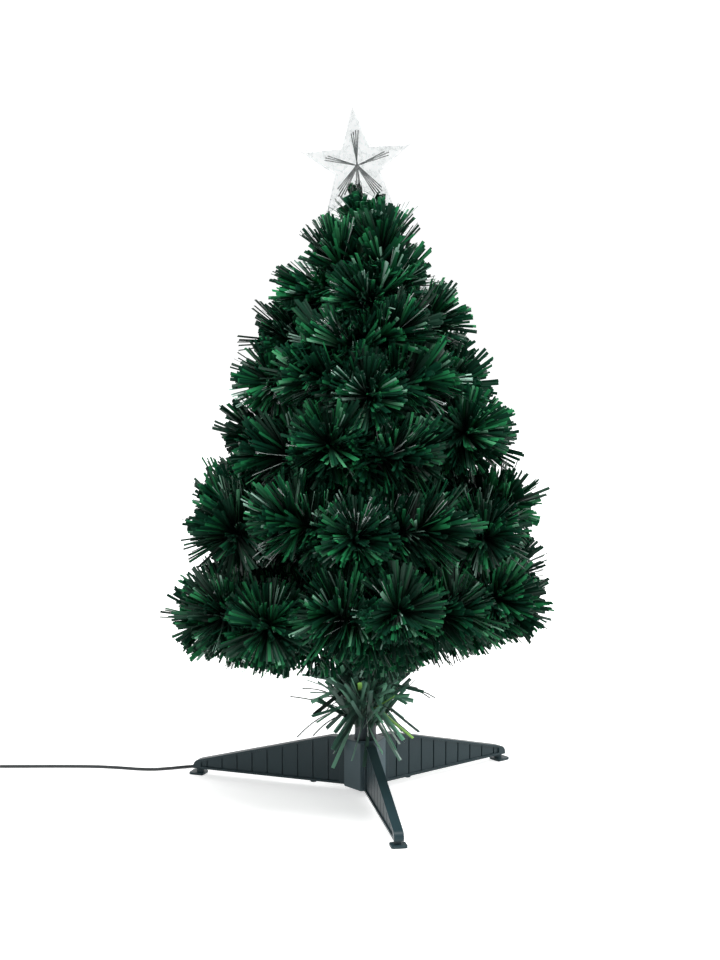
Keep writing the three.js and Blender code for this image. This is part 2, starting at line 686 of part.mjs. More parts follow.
// A brush-shaped tip: a spindle with one tapering bundle of needles on each of its faces.
// The spindle has two poles and two staggered rings between them.
function tuft(centre, axis, row, owners) {
  const poleTurn = 52;
  const unit = [new THREE.Vector3(0, 0, 1)];
  for (const [turn, shift] of [[poleTurn, 0], [180 - poleTurn, 0.5]]) {
    for (let i = 0; i < tuftSides; i += 1) {
      const round = ((i + shift) / tuftSides) * fullTurn;
      const [out, along] = [Math.sin(radians(turn)), Math.cos(radians(turn))];
      unit.push(new THREE.Vector3(out * Math.cos(round), out * Math.sin(round), along));
    }
  }
  unit.push(new THREE.Vector3(0, 0, -1));
  const last = unit.length - 1;
  const faces = [];
  for (let i = 0; i < tuftSides; i += 1) {
    const next = (i + 1) % tuftSides;
    const [a, b, c, d] = [1 + i, 1 + next, 1 + tuftSides + i, 1 + tuftSides + next];
    faces.push([0, a, b], [a, c, b], [b, c, d], [last, d, c]);
  }
  const turned = new THREE.Quaternion().setFromUnitVectors(up, axis);
  const corners = unit.map((v) => {
    const way = new THREE.Vector3(v.x * tuftCoreRadius, v.y * tuftCoreRadius, v.z * tuftCoreLength);
    const reach = way.length();
    way.normalize().applyQuaternion(turned);
    return centre.clone().addScaledVector(way, room(centre, way, reach, owners));
  });
  const points = [];
  for (const face of faces) {
    const direction = new THREE.Vector3();
    face.forEach((i) => direction.add(unit[i]));
    direction.normalize();
    direction.z += row.sweepShare;
    direction.normalize().applyQuaternion(turned);
    direction.z += row.riseShare;
    direction.normalize();
    const tip = centre.clone().addScaledVector(direction, room(centre, direction, tuftReach, owners));
    const [a, b, c] = face.map((i) => corners[i]);
    points.push(a, b, tip, b, c, tip, c, a, tip);
  }
  return new THREE.BufferGeometry().setFromPoints(points);
}

for (const { name, row, foot, face, whole, fork, tips, twigs } of branches) {
  const start = foot.clone().lerp(face, fitGap / rootDepth);
  const pieces = [sweep([start, face, whole.getPoint(forkShare / 2), fork], wireRadius, wireSides)];
  twigs.forEach((curve, i) => {
    const axis = curve.getTangent(1);
    const back = fork.clone().addScaledVector(curve.getTangent(0), -wireRadius);
    pieces.push(sweep([back, curve.getPoint(1 / 2), tips[i]], twigRadius, twigSides));
    pieces.push(tuft(tips[i], axis, row, [`${name}/${i}`, name]));
  });
  place(name, join(pieces), finishes.needles);
}

// The loose needles of the tape round the lower trunk

function wrapGeometry() {
  const inner = trunkRadius + fitGap;
  const outer = inner + wrapThickness;
  const pieces = [ring(inner, outer, wrapBottom, wrapTop, trunkSides)];
  const goldenTurn = 137.5;
  for (let i = 0; i < wrapNeedles; i += 1) {
    const turn = i * goldenTurn;
    const rise = wrapRises[i % wrapRises.length] + wrapScatter * Math.sin(radians(turn * 2));
    const height = wrapBottom + ((wrapTop - wrapBottom) * (i + 1)) / (wrapNeedles + 1);
    const from = polar(turn, outer - weld - wrapThickness / 4, height);
    const direction = polar(turn, Math.cos(radians(rise)), Math.sin(radians(rise)));
    const limit = rise > 0 ? wrapCeiling : legTop + needleThick;
    const free = (limit - height) / direction.z;
    pieces.push(spike(from, direction, Math.min(wrapNeedleLength, free), needleThick));
  }
  return join(pieces);
}

place('trunk_needle_wrap', wrapGeometry(), finishes.looseNeedles);

// The cap on the trunk's top, the ring of crown needles on its neck, and the star's stem in its bore

const capNeckTop = crownHeight + crownRingHeight + fitGap;
const capSkirtInside = trunkRadius + fitGap + capTiltRoom;
const capSeat = fitGap + trunkRadius * Math.sin(radians(Math.abs(starTilt)));
place('trunk_top_cap', revolve([
  [0, capSeat], [capSkirtInside, capSeat], [capSkirtInside, capSeat - capSkirt / 2],
  [capSkirtInside + lampWall, capSeat - capSkirt / 2], [capSkirtInside + lampWall, capSeat + capShoulder / 2],
  [capNeckRadius, capSeat + capShoulder], [capNeckRadius, capNeckTop],
  [stemRadius + fitGap, capNeckTop], [stemRadius + fitGap, stemBottom - fitGap], [0, stemBottom - fitGap],
], 16), finishes.tape, starFrame);

function crownGeometry() {
  const inner = capNeckRadius + fitGap;
  const outer = inner + wrapThickness;
  const pieces = [ring(inner, outer, crownHeight, crownTop, trunkSides)];
  const [low, high, side] = [40, 78, 40];
  for (let i = 0; i < crownNeedles; i += 1) {
    const steep = i % 2 === 0;
    const share = (i + 0.5) / crownNeedles;
    // The steep needles stand before and behind the star's arms, clear of the way it lifts.
    const half = share < 0.5 ? 90 : -90;
    const around = steep ? half + (((share * 2) % 1) - 0.5) * 2 * side : share * 360;
    const rise = steep ? high : low;
    const from = polar(around, outer - weld - wrapThickness / 4, (crownHeight + crownTop) / 2);
    const direction = polar(around, Math.cos(radians(rise)), Math.sin(radians(rise)));
    const start = from.clone().applyMatrix4(starFrame.matrix);
    const way = direction.clone().applyQuaternion(starFrame.quaternion);
    const home = onStem(0, 0, from.z);
    const length = room(start, way, crownNeedleLength, ['stem'], home);
    pieces.push(spike(from, direction, length, needleThick));
  }
  return join(pieces);
}

place('crown_needles', crownGeometry(), finishes.needles, starFrame);

// The star: two faceted half shells, the fibres inside and the stem

function starOutline(grow) {
  return Array.from({ length: 10 }, (_, i) => {
    const out = (i % 2 === 0 ? starRadius : starInnerRadius) * grow;
    const turn = radians(90 + i * 36);
    return new THREE.Vector3(out * Math.cos(turn), 0, out * Math.sin(turn));
  });
}

// A low ten-sided pyramid over the star's outline, on a rim. side is -1 to the front and 1 to the back.
function starHill(outline, side, start, rim, bulge) {
  const lift = (p, y) => new THREE.Vector3(p.x, side * y, p.z);
  const points = [];
  outline.forEach((a, i) => {
    const b = outline[(i + 1) % outline.length];
    const [a0, b0, a1, b1] = [lift(a, start), lift(b, start), lift(a, rim), lift(b, rim)];
    const [low, high] = [new THREE.Vector3(0, side * start, 0), new THREE.Vector3(0, side * bulge, 0)];
    points.push(a0, b0, a1, b0, b1, a1, a1, b1, high, b0, a0, low);
  });
  return new THREE.BufferGeometry().setFromPoints(points);
}

const seam = fitGap / 2; // half of the gap between the two shells
function starShell(side) {
  const shrink = 1 - (2.6 * starWall) / starRadius;
  const shell = starHill(starOutline(1), side, seam, seam + starRim, starBulge);
  const hollow = starHill(starOutline(shrink), side, seam - overrun, seam + starRim / 4, starBulge - starWall);
  const stemHole = bar(
    new THREE.Vector3(0, 0, -starRadius), new THREE.Vector3(0, 0, stemInStar - starInnerRadius + fitGap),
    stemRadius + fitGap, 12,
  );
  return cut(shell, [hollow, stemHole]).translate(0, 0, starCentre);
}

place('star_front_shell', starShell(-1), finishes.clear, starFrame);
place('star_back_shell', starShell(1), finishes.clear, starFrame);

const stemTop = starCentre - starInnerRadius + stemInStar;
place('star_stem', disc(stemRadius, stemBottom, stemTop, 12), finishes.clear, starFrame);

// The fibres come out of the stem as one bundle and fan out from the star's middle into the five arms.
function starFibres() {
  const middle = new THREE.Vector3(0, 0, starCentre);
  const pieces = [
    disc(fibreBundleRadius, stemTop + fitGap, starCentre, 8),
    new THREE.IcosahedronGeometry(fibreKnotRadius, 0).translate(0, 0, starCentre),
  ];
  for (let arm = 0; arm < 5; arm += 1) {
    for (let i = 0; i < fibresPerArm; i += 1) {
      const turn = radians(90 + arm * 72 + (i - (fibresPerArm - 1) / 2) * fibreSpread);
      const out = starRadius * fibreShare * (1 - 0.08 * (i % 2));
      const way = new THREE.Vector3(Math.cos(turn), 0, Math.sin(turn));
      pieces.push(spike(middle, way, out, fibreWidth));
    }
  }
  return join(pieces);
}

place('star_fibres', starFibres(), finishes.fibre, starFrame);

// The cord: a tapered relief at the hub, the free stretch on the floor, and the coil with its tie

const cordRadius = cordDiameter / 2;
const reliefEnd = hubFaceDistance + fitGap + reliefLength;
const relief = revolve([
  [0, socketRadius + fitGap / 2], [reliefRootRadius, socketRadius + fitGap / 2],
  [reliefRootRadius, hubFaceDistance + fitGap],
  [reliefCollarRadius, hubFaceDistance + fitGap], [reliefCollarRadius, hubFaceDistance + fitGap + reliefCollarLength],
  [reliefRootRadius, hubFaceDistance + fitGap + reliefCollarLength], [reliefTipRadius, reliefEnd], [0, reliefEnd],
], 12).rotateY(Math.PI / 2);
const reliefMesh = place('cord_relief', relief, finishes.cord);
reliefMesh.position.z = outletHeight;
reliefMesh.rotation.z = radians(outletTurn);

const coilLowest = cordRadius + tieThickness + fitGap;
const cordStart = polar(outletTurn, reliefEnd + fitGap, outletHeight);
const cordStraight = polar(outletTurn, reliefEnd + fitGap + cordDiameter, outletHeight);
// The coil starts straight for a cord's diameter on the outside of its lowest layer.
const coilEntry = new THREE.Vector3(coilX + cordDiameter, coilY + coilOuterRadius, coilLowest);
const cordRoute = [
  cordStart, cordStraight,
  ...cordRouteShares.map((share) => new THREE.Vector3(...share).multiplyScalar(routeUnit)),
  new THREE.Vector3(coilEntry.x + fitGap, coilEntry.y, coilEntry.z),
];
const cordCurve = new THREE.CatmullRomCurve3(cordRoute, false, 'centripetal');
const cordSteps = Math.round(cordCurve.getLength() / cordStep);
place('cord_run', tube(cordCurve, cordRadius, cordSteps, cordSides), finishes.cord);

// The coil spirals in and out at a steady rate and climbs a layer in each half turn where it turns back.
const coilTurns = coilLayers * coilTurnsPerLayer;
function coilPoint(turns) {
  const layer = Math.min(Math.floor(turns / coilTurnsPerLayer), coilLayers - 1);
  const inLayer = turns - layer * coilTurnsPerLayer;
  const inwards = layer % 2 === 0 ? inLayer : coilTurnsPerLayer - inLayer;
  const radius = coilOuterRadius - inwards * coilPitch;
  let climbed = layer;
  for (let k = 1; k < coilLayers; k += 1) {
    const from = k * coilTurnsPerLayer - 1 / 4;
    if (turns > from && turns < from + 1 / 2) climbed = k - 1 + (turns - from) * 2;
  }
  const at = radians(90) + turns * fullTurn;
  return new THREE.Vector3(
    coilX + radius * Math.cos(at), coilY + radius * Math.sin(at), coilLowest + climbed * coilPitch,
  );
}

// The coil ends on its +X side, where its turn runs to +Y, and the cord goes on up to the adaptor's relief.
const coilEndTurns = coilTurns - 1 / 4;
const adaptorMiddle = adaptorWidth / 2;
const adaptorReliefStart = coilY + adaptorGapToCoil;

function coilPath() {
  const points = [coilEntry.clone()];
  const steps = Math.round(coilEndTurns * coilStepsPerTurn);
  for (let i = 0; i <= steps; i += 1) points.push(coilPoint(i / coilStepsPerTurn));
  const leave = points.at(-1);
  const end = new THREE.Vector3(leave.x, adaptorReliefStart - fitGap, adaptorMiddle);
  const straight = end.clone();
  straight.y -= cordDiameter;
  const lead = new THREE.CubicBezierCurve3(
    leave,
    leave.clone().add(new THREE.Vector3(0, (straight.y - leave.y) * 0.45, 0)),
    straight.clone().add(new THREE.Vector3(0, (leave.y - straight.y) * 0.45, 0)),
    straight,
  );
  points.push(...lead.getPoints(6).slice(1), end);
  return points;
}

const coilPoints = coilPath();
place('cord_coil', sweep(coilPoints, cordRadius, coilSides), finishes.cord);

// The coil's least gap to itself, between stretches that lie more than half a turn apart.
function leastGap(points) {
  let least = Infinity;
  const apart = coilStepsPerTurn / 2;
  points.forEach((p, i) => {
    for (let j = i + apart; j < points.length - 1; j += 1) {
      const line = new THREE.Line3(points[j], points[j + 1]);
      least = Math.min(least, p.distanceTo(line.closestPointToPoint(p, true, new THREE.Vector3())));
    }
  });
  return least - cordDiameter;
}
console.log(`cord_coil: least gap to itself ${leastGap(coilPoints).toFixed(2)} mm`);
console.log(`cord: ${cordCurve.getLength().toFixed(0)} mm free, ${
  coilPoints.slice(1).reduce((sum, p, i) => sum + p.distanceTo(coilPoints[i]), 0).toFixed(0)} mm in the coil`);

// The tie is a flat band round all the turns at one place of the coil.
function tieGeometry() {
  const insideRadius = coilOuterRadius - coilTurnsPerLayer * coilPitch - cordRadius - fitGap;
  const outsideRadius = coilOuterRadius + cordRadius + fitGap;
  const low = coilLowest - cordRadius - fitGap;
  const high = coilLowest + (coilLayers - 1) * coilPitch + cordRadius + fitGap;
  const shape = new THREE.Shape();
  shape.moveTo(insideRadius - tieThickness, low - tieThickness);
  shape.lineTo(outsideRadius + tieThickness, low - tieThickness);
  shape.lineTo(outsideRadius + tieThickness, high + tieThickness);
  shape.lineTo(insideRadius - tieThickness, high + tieThickness);
  const hole = new THREE.Path();
  hole.moveTo(insideRadius, low);
  hole.lineTo(insideRadius, high);
  hole.lineTo(outsideRadius, high);
  hole.lineTo(outsideRadius, low);
  shape.holes.push(hole);
  return plate(shape, tieWidth, 1);
}

const tie = place('cord_tie', tieGeometry(), finishes.cord);
tie.position.set(coilX, coilY, 0);
tie.rotation.z = radians(tieTurn);

// The adaptor lies on its side: its relief and body run on along +Y, and its pins point to -X

const adaptorX = coilPoints.at(-1).x;
const adaptorBodyStart = adaptorReliefStart + adaptorReliefLength;
const coverX = adaptorX - adaptorDepth / 2;
const pinY = adaptorBodyStart + adaptorLength - pinFromEnd;

// A shell of the adaptor: a rounded rectangle in the YZ plane with a soft edge on one side.
function adaptorShell(depth) {
  const [long, high, r] = [adaptorLength / 2, adaptorWidth / 2, adaptorRound];
  const edge = adaptorRound / 3;
  const shape = new THREE.Shape();
  shape.moveTo(-long + r, -high);
  shape.lineTo(long - r, -high);
  shape.quadraticCurveTo(long, -high, long, -high + r);
  shape.lineTo(long, high - r);
  shape.quadraticCurveTo(long, high, long - r, high);
  shape.lineTo(-long + r, high);
  shape.quadraticCurveTo(-long, high, -long, high - r);
  shape.lineTo(-long, -high + r);
  shape.quadraticCurveTo(-long, -high, -long + r, -high);
  return new THREE.ExtrudeGeometry(shape, {
    depth: depth - 2 * edge, bevelThickness: edge, bevelSize: edge, bevelOffset: -edge, bevelSegments: 1,
    curveSegments: 3,
  }).translate(0, 0, edge).rotateX(Math.PI / 2).rotateZ(Math.PI / 2)
    .translate(0, adaptorBodyStart + adaptorLength / 2, adaptorMiddle);
}

place('adaptor_body', adaptorShell(adaptorDepth).translate(coverX, 0, 0), finishes.adaptor);
const pinHoles = [-1, 1].map((side) => {
  const height = adaptorMiddle + (side * pinSpacing) / 2;
  const face = coverX - fitGap - adaptorCoverDepth;
  return bar(
    new THREE.Vector3(face - overrun, pinY, height), new THREE.Vector3(face + pinSeat, pinY, height),
    pinRadius + fitGap, 12,
  );
});
place('adaptor_cover', cut(
  adaptorShell(adaptorCoverDepth).translate(coverX - fitGap - adaptorCoverDepth, 0, 0), pinHoles,
), finishes.adaptor);

const pinProfile = [
  [0, 0], [pinRadius, 0], [pinRadius, pinLength + pinSeat - pinRadius],
  [pinRadius * Math.cos(radians(45)), pinLength + pinSeat - pinRadius * (1 - Math.sin(radians(45)))],
  [0, pinLength + pinSeat],
];
for (const [side, sign] of [['lower', -1], ['upper', 1]]) {
  const pin = place(`adaptor_pin_${side}`, revolve(pinProfile, 12).rotateY(-Math.PI / 2), finishes.pin);
  pin.position.set(
    coverX - fitGap - adaptorCoverDepth + pinSeat - fitGap, pinY, adaptorMiddle + (sign * pinSpacing) / 2,
  );
}

const adaptorRelief = place('adaptor_relief', revolve([
  [0, 0], [reliefTipRadius, 0], [adaptorReliefRadius, adaptorReliefLength - fitGap],
  [0, adaptorReliefLength - fitGap],
], 12).rotateX(-Math.PI / 2), finishes.cord);
adaptorRelief.position.set(adaptorX, adaptorReliefStart, adaptorMiddle);

export default tree;
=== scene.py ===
"""Looks for a table-top artificial Christmas tree with light fibres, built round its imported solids."""

import json
import math

import bmesh
import bpy
import numpy as np
from bpy.props import FloatProperty, FloatVectorProperty, IntProperty, PointerProperty
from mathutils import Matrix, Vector


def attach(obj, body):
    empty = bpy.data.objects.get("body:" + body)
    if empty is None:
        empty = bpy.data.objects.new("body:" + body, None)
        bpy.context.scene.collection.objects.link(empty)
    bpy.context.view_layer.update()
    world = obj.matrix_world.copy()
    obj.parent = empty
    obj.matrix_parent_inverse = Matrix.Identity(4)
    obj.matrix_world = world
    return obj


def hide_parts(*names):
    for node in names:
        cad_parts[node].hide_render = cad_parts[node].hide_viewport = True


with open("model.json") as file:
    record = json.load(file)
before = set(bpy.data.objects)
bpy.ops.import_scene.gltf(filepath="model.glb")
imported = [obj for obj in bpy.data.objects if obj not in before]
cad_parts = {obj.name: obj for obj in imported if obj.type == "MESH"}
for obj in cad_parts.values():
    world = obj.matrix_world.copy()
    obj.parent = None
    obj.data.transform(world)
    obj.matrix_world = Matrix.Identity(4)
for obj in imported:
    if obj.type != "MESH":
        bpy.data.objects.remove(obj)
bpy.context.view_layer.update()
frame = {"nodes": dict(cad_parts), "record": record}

bl_info = {
    "name": "Table-top Christmas tree",
    "version": (1, 0, 0),
    "blender": (4, 5, 0),
    "location": "3D View > Sidebar > Tree",
    "description": "Needles, light fibres, star, stand and cord of a table-top artificial tree",
    "category": "Object",
}

MM = 0.001
NODE_BODY = {
    node: body
    for body, nodes in frame["record"]["behaviour"]["bodies"].items()
    for node in nodes
}

# The branch rows: name, wires, tips on each, the height and distance of the tips and the height of the
# wires' start as shares of the trunk's height, the turn of the first wire in degrees, the lift of each
# tip as a share of a needle's reach, the angle between a tip's wire and its needles in degrees, and how
# far the tips are bent outwards all round and towards +X in millimetres. Twelve lifts and the last three
# numbers aren't in the solids. The lifts and bends follow the photo, so that a tip stands 5.5 mm from
# the solid's on average and 15 mm at most.
TRUNK_TOP = 490 * MM
TUFT_REACH = 43 * MM
BINDING_RADIUS = 13 * MM
WIRE_RADIUS = 2.1 * MM
FORK_SHARE = 0.45
BEND_SHARE = 0.55
ROWS = [
    ("row1", 5, 3, 0.382, 0.288, 0.306, -78,
     (0.34, 0.42, 0.26, 0.3, -0.05, 0.36, 0.12, -0.1, 0.14, -0.08, 0.1, -0.34, -0.42, 0.02, -0.04),
     68, 0, -6.5),
    ("row2", 4, 3, 0.551, 0.253, 0.486, -94,
     (0.25, -0.06, 0.04, -0.3, 0.12, -0.3, -0.2, 0.16, -0.1, 0.2, 0.06, -0.28), 68, 6, -1.5),
    ("row3", 3, 3, 0.694, 0.2, 0.637, -108,
     (-0.25, 0.16, -0.12, 0.2, -0.2, 0.16, -0.1, 0.14, -0.12), 66, 5, 0),
    ("row4", 3, 3, 0.8, 0.159, 0.747, -88,
     (0.22, -0.1, 0.16, -0.16, 0.08, -0.1, 0.16, -0.12, -0.02), 63, 5, -3.5),
    ("row5", 3, 2, 0.886, 0.124, 0.841, -90, (-0.16, 0.16, 0.24, -0.1, 0.14, -0.2), 58, 1, -5),
    ("row6", 2, 2, 0.966, 0.088, 0.918, -50, (-0.2, 0.16, 0.1, -0.14), 50, -6, -9),
    ("row7", 3, 1, 1.044, 0.046, 0.971, -30, (0.12, -0.08, -0.2), 40, 0, -7),
]

# The needles' fans, their density along a wire, their lean from it at its start and end in radians, the
# wires' radii, and how far from the trunk's axis needles and stray fibres start.
GOLDEN_ANGLE = 2.39996
FAN_NEEDLES = 7
NEEDLE_POINTS = 9
RIDGE_SHARE = 0.14
# Needles in painted sheen, pale grey-green, are this share as wide as the others.
PAINTED_SHEEN_WIDTH_SHARE = 0.45
BRUSH_LENGTH = 46 * MM
STEM_NEEDLES_PER_METRE = 5700
TWIG_NEEDLES_PER_METRE = 8200
END_NEEDLES = 56
STEEP_LEAN = (1.35, 1.2)
END_LEAN = (0.8, 0.3)
STEM_RADIUS = 1.3 * MM
TWIG_RADIUS = 1.1 * MM
TRUNK_FACE = 10.4 * MM
WRAP_FACE = 11.6 * MM
STRAY_FACE = 11.8 * MM

# The rings of tape, and the green of tape and wire cover.
RING_SIDES = 24
GREEN_PVC = "#123a22"

# The star's frame: it stands on the trunk's top and leans about the Y axis.
STAR_TILT = math.radians(-4.5)
STAR_CENTRE = 97.4 * MM
STAR_RADIUS = 53 * MM

# The cord's way in metres: the free stretch as listed, and the coil from its own formula.
CORD_DIAMETER = 3 * MM
OUTLET_TURN = math.radians(99.6)
OUTLET_DISTANCE = 36.6 * MM
OUTLET_HEIGHT = 16 * MM
COIL_CENTRE = (-0.416, 0.057)
COIL_RADIUS = 20.9 * MM
COIL_PITCH = 3.5 * MM
COIL_LAYERS = 4
COIL_TURNS = 2.5
COIL_LOW = 2.6 * MM
ADAPTOR_START = 0.081
ADAPTOR_HEIGHT = 0.019
CORD_ROUTE = [
    (-0.0086, 0.048, 0.0138), (-0.0115, 0.056, 0.009), (-0.0165, 0.063, 0.0046), (-0.024, 0.069, 0.0022),
    (-0.034, 0.074, 0.0015), (-0.05, 0.079, 0.0015), (-0.075, 0.084, 0.0015), (-0.105, 0.086, 0.0015),
    (-0.135, 0.0845, 0.0015), (-0.16, 0.0805, 0.0015), (-0.175, 0.0765, 0.0015), (-0.19, 0.0715, 0.0015),
    (-0.205, 0.068, 0.0015), (-0.221, 0.069, 0.0015), (-0.237, 0.073, 0.0015), (-0.255, 0.0765, 0.0015),
    (-0.271, 0.078, 0.0015), (-0.3, 0.0785, 0.0015), (-0.33, 0.0782, 0.0015), (-0.36, 0.078, 0.0015),
    (-0.385, 0.0779, 0.0019), (-0.402, 0.0779, 0.0026),
]


def linear(hex_colour):
    """An sRGB hex colour as linear red, green, blue and alpha."""
    shares = [int(hex_colour[i : i + 2], 16) / 255 for i in (1, 3, 5)]
    return tuple(c / 12.92 if c <= 0.04045 else ((c + 0.055) / 1.055) ** 2.4 for c in shares) + (1.0,)


class TreeSizes(bpy.types.PropertyGroup):
    """Sizes that a user would change."""

    needle_length: FloatProperty(
        name="Needle length", description="From the wire to a needle's cut end",
        default=45 * MM, unit="LENGTH",
    )
    needle_width: FloatProperty(
        name="Needle width", description="Width of the cut film", default=2.9 * MM, unit="LENGTH"
    )
    needles_per_mm: FloatProperty(
        name="Needles per millimetre", description="How dense a tip's last stretch is", default=10.5
    )
    fibre_radius: FloatProperty(
        name="Fibre radius", description="Radius of one light fibre", default=0.34 * MM, unit="LENGTH"
    )
    fibres_per_tip: IntProperty(
        name="Fibres per tip", description="Light fibres that end in one brush tip", default=5
    )
    stand_edge: FloatProperty(
        name="Stand edge", description="Round on the stand's moulded edges", default=0.45 * MM, unit="LENGTH"
    )


def colour(label, text, hex_colour):
    """One colour of the tree as a property."""
    return FloatVectorProperty(
        name=label, description=text, subtype="COLOR", size=4, min=0, max=1, default=linear(hex_colour)
    )


class TreeColours(bpy.types.PropertyGroup):
    """Colours that a user would change."""

    needle_dark: colour("Needle, dark", "The darkest needles", "#052217")
    needle_mid: colour("Needle", "Most needles", "#083524")
    needle_light: colour("Needle, light", "The bright needles", "#247c4a")
    # Painted sheen: the palest grey-green needles stand in for glints on the film.
    needle_painted_sheen: colour("Needle, pale", "The few palest needles", "#86a899")
    # The loose needles' three greens are lighter and greyer than the others': painted backlight, as they
    # stand against the white.
    loose_dark: colour("Loose needle, dark", "The darkest loose needles", "#1f2d28")
    loose_mid: colour("Loose needle", "Most loose needles", "#4b7766")
    loose_light: colour("Loose needle, light", "The bright loose needles", "#75b594")
    loose_pale: colour("Loose needle, yellow", "The few yellow-green loose needles", "#93c957")
    stand: colour("Legs", "Moulded plastic of the legs and feet", "#23363b")
    # The hub's paler tone is painted light: its faces catch more light than the legs'.
    hub: colour("Hub", "Moulded plastic of the hub", "#465a60")
    trunk: colour("Trunk", "Plastic tube", "#3d464a")
    cord: colour("Cord", "Cord's cover", "#24292b")
    adaptor: colour("Adaptor", "Adaptor's shells", "#1b1e20")


def sizes():
    """The scene's sizes."""
    return bpy.context.scene.tree_sizes


def colours():
    """The scene's colours."""
    return bpy.context.scene.tree_colours


# Meshes


def add_piece(name, points, face_groups, materials, body, attributes=None, smooth=False):
    """A mesh piece from an array of points and arrays of faces, each with the number of its material.

    Each face group is an array of corner numbers with one face a row. Attributes hold one value a point.
    """
    mesh = bpy.data.meshes.new(name)
    mesh.vertices.add(len(points))
    mesh.vertices.foreach_set("co", np.ascontiguousarray(points, np.float32).ravel())
    corners = np.concatenate([faces.ravel() for faces, _ in face_groups])
    counts = np.concatenate([np.full(len(faces), faces.shape[1]) for faces, _ in face_groups])
    starts = np.concatenate([[0], np.cumsum(counts)[:-1]])
    mesh.loops.add(len(corners))
    mesh.loops.foreach_set("vertex_index", corners.astype(np.int32))
    mesh.polygons.add(len(counts))
    mesh.polygons.foreach_set("loop_start", starts.astype(np.int32))
    mesh.update(calc_edges=True)
    numbers = np.concatenate([np.full(len(faces), number) for faces, number in face_groups])
    mesh.polygons.foreach_set("material_index", numbers.astype(np.int32))
    mesh.polygons.foreach_set("use_smooth", np.full(len(counts), smooth))
    for label, values in (attributes or {}).items():
        mesh.attributes.new(label, "FLOAT", "POINT").data.foreach_set("value", values.astype(np.float32))
    for material in materials:
        mesh.materials.append(material)
    piece = bpy.data.objects.new(name, mesh)
    bpy.context.scene.collection.objects.link(piece)
    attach(piece, body)
    return piece


def unit(vectors):
    """Each vector divided by its own length."""
    return vectors / np.linalg.norm(vectors, axis=-1, keepdims=True)


def polar(turn, distance=1.0, height=0.0):
    """Points (distance * cos turn, distance * sin turn, height) round the axis, for numbers or arrays."""
    return np.stack(np.broadcast_arrays(distance * np.cos(turn), distance * np.sin(turn), height), -1)


def turned(first, second, angle):
    """Directions first * cos angle + second * sin angle, row by row."""
    return first * np.cos(angle)[:, None] + second * np.sin(angle)[:, None]


def curve_points(control, shares):
    """A quadratic curve: P = (1-t)^2 A + 2 t (1-t) B + t^2 C, with its direction at each share t."""
    a, b, c = (np.asarray(p, float) for p in control)
    t = np.asarray(shares, float)[:, None]
    points = (1 - t) ** 2 * a + 2 * t * (1 - t) * b + t**2 * c
    ways = unit(2 * (1 - t) * (b - a) + 2 * t * (c - b))
    return points, ways


def square_to(ways):
    """Two directions square to each way: across it and level, and square to both."""
    up = np.where(np.abs(ways[..., 2:3]) > 0.95, [[1.0, 0, 0]], [[0, 0, 1.0]])
    across = unit(np.cross(ways, up))
    return across, np.cross(across, ways)


def strips(base, way, side, length, width, bend):
    """Flat needles: a low three-sided section carried from its base to its cut end.

    A needle's middle line is base + way * length * t + bend * t^2 at t = 0, 1/2 and 1. Its section has
    its two edges half a width to each side and a low ridge above, a share of the width high.
    """
    t = np.array([0, 0.5, 1.0])
    middle = (
        base[:, None]
        + way[:, None] * length[:, None, None] * t[None, :, None]
        + bend[:, None] * (t**2)[None, :, None]
    )
    half = side * (width / 2)[:, None]
    ridge = np.cross(way, side) * (width * RIDGE_SHARE)[:, None]
    section = np.stack([-half, half, ridge], 1)
    points = (middle[:, :, None] + section[:, None]).reshape(-1, 3)
    k, j = np.meshgrid([0, 1], [0, 1, 2], indexing="ij")
    k, j = k.ravel(), j.ravel()
    n = (j + 1) % 3
    quads = np.stack([3 * k + j, 3 * k + n, 3 * k + 3 + n, 3 * k + 3 + j], 1)
    caps = np.array([[6, 7, 8], [0, 2, 1]])
    first = NEEDLE_POINTS * np.arange(len(base))[:, None, None]
    along = np.tile(np.repeat(t, 3), len(base))
    return points, (quads + first).reshape(-1, 4), (caps + first).reshape(-1, 3), along


def ring_faces(stations, sides, closed=False):
    """Four-sided faces between neighbouring sections, and from the last to the first where it is closed."""
    k, j = np.meshgrid(np.arange(stations if closed else stations - 1), np.arange(sides), indexing="ij")
    k, j = k.ravel(), j.ravel()
    k2, j2 = (k + 1) % stations, (j + 1) % sides
    return np.stack([sides * k + j, sides * k2 + j, sides * k2 + j2, sides * k + j2], 1)


def tape_ring(profile):
    """A closed ring round the axis: the profile's (distance, height) in millimetres, turned in steps."""
    angle = np.arange(RING_SIDES)[:, None] * 2 * math.pi / RING_SIDES
    distance, height = np.array(profile).T * MM
    points = polar(angle, distance, height).reshape(-1, 3)
    return points, ring_faces(RING_SIDES, len(profile), closed=True)


def tubes(paths, radius, sides):
    """Closed tubes along many paths of equally many points.

    A section's corner j stands at the angle 2 pi j / sides, in the plane square to the path.
    """
    count, stations = paths.shape[:2]
    ways = unit(np.gradient(paths, axis=1))
    across, over = square_to(ways)
    turn = np.arange(sides) * 2 * math.pi / sides
    ring = turned(across[:, :, None], over[:, :, None], turn)
    points = (paths[:, :, None] + radius * ring).reshape(-1, 3)
    quads = ring_faces(stations, sides)
    first = stations * sides * np.arange(count)[:, None, None]
    end = (stations - 1) * sides
    low, high = np.arange(sides)[None], (end + np.arange(sides)[::-1])[None]
    ends = np.concatenate([low + first[:, 0], high + first[:, 0]])
    return points, (quads + first).reshape(-1, 4), ends


def beads(centres, radius):
    """A small round bead at each centre, from one ball of 42 points."""
    ball = bmesh.new()
    bmesh.ops.create_icosphere(ball, subdivisions=2, radius=1)
    ball.verts.ensure_lookup_table()
    shape = np.array([v.co for v in ball.verts])
    faces = np.array([[v.index for v in f.verts] for f in ball.faces])
    ball.free()
    points = centres[:, None] + radius[:, None, None] * shape
    first = len(shape) * np.arange(len(centres))[:, None, None]
    return points.reshape(-1, 3), (faces + first).reshape(-1, 3)


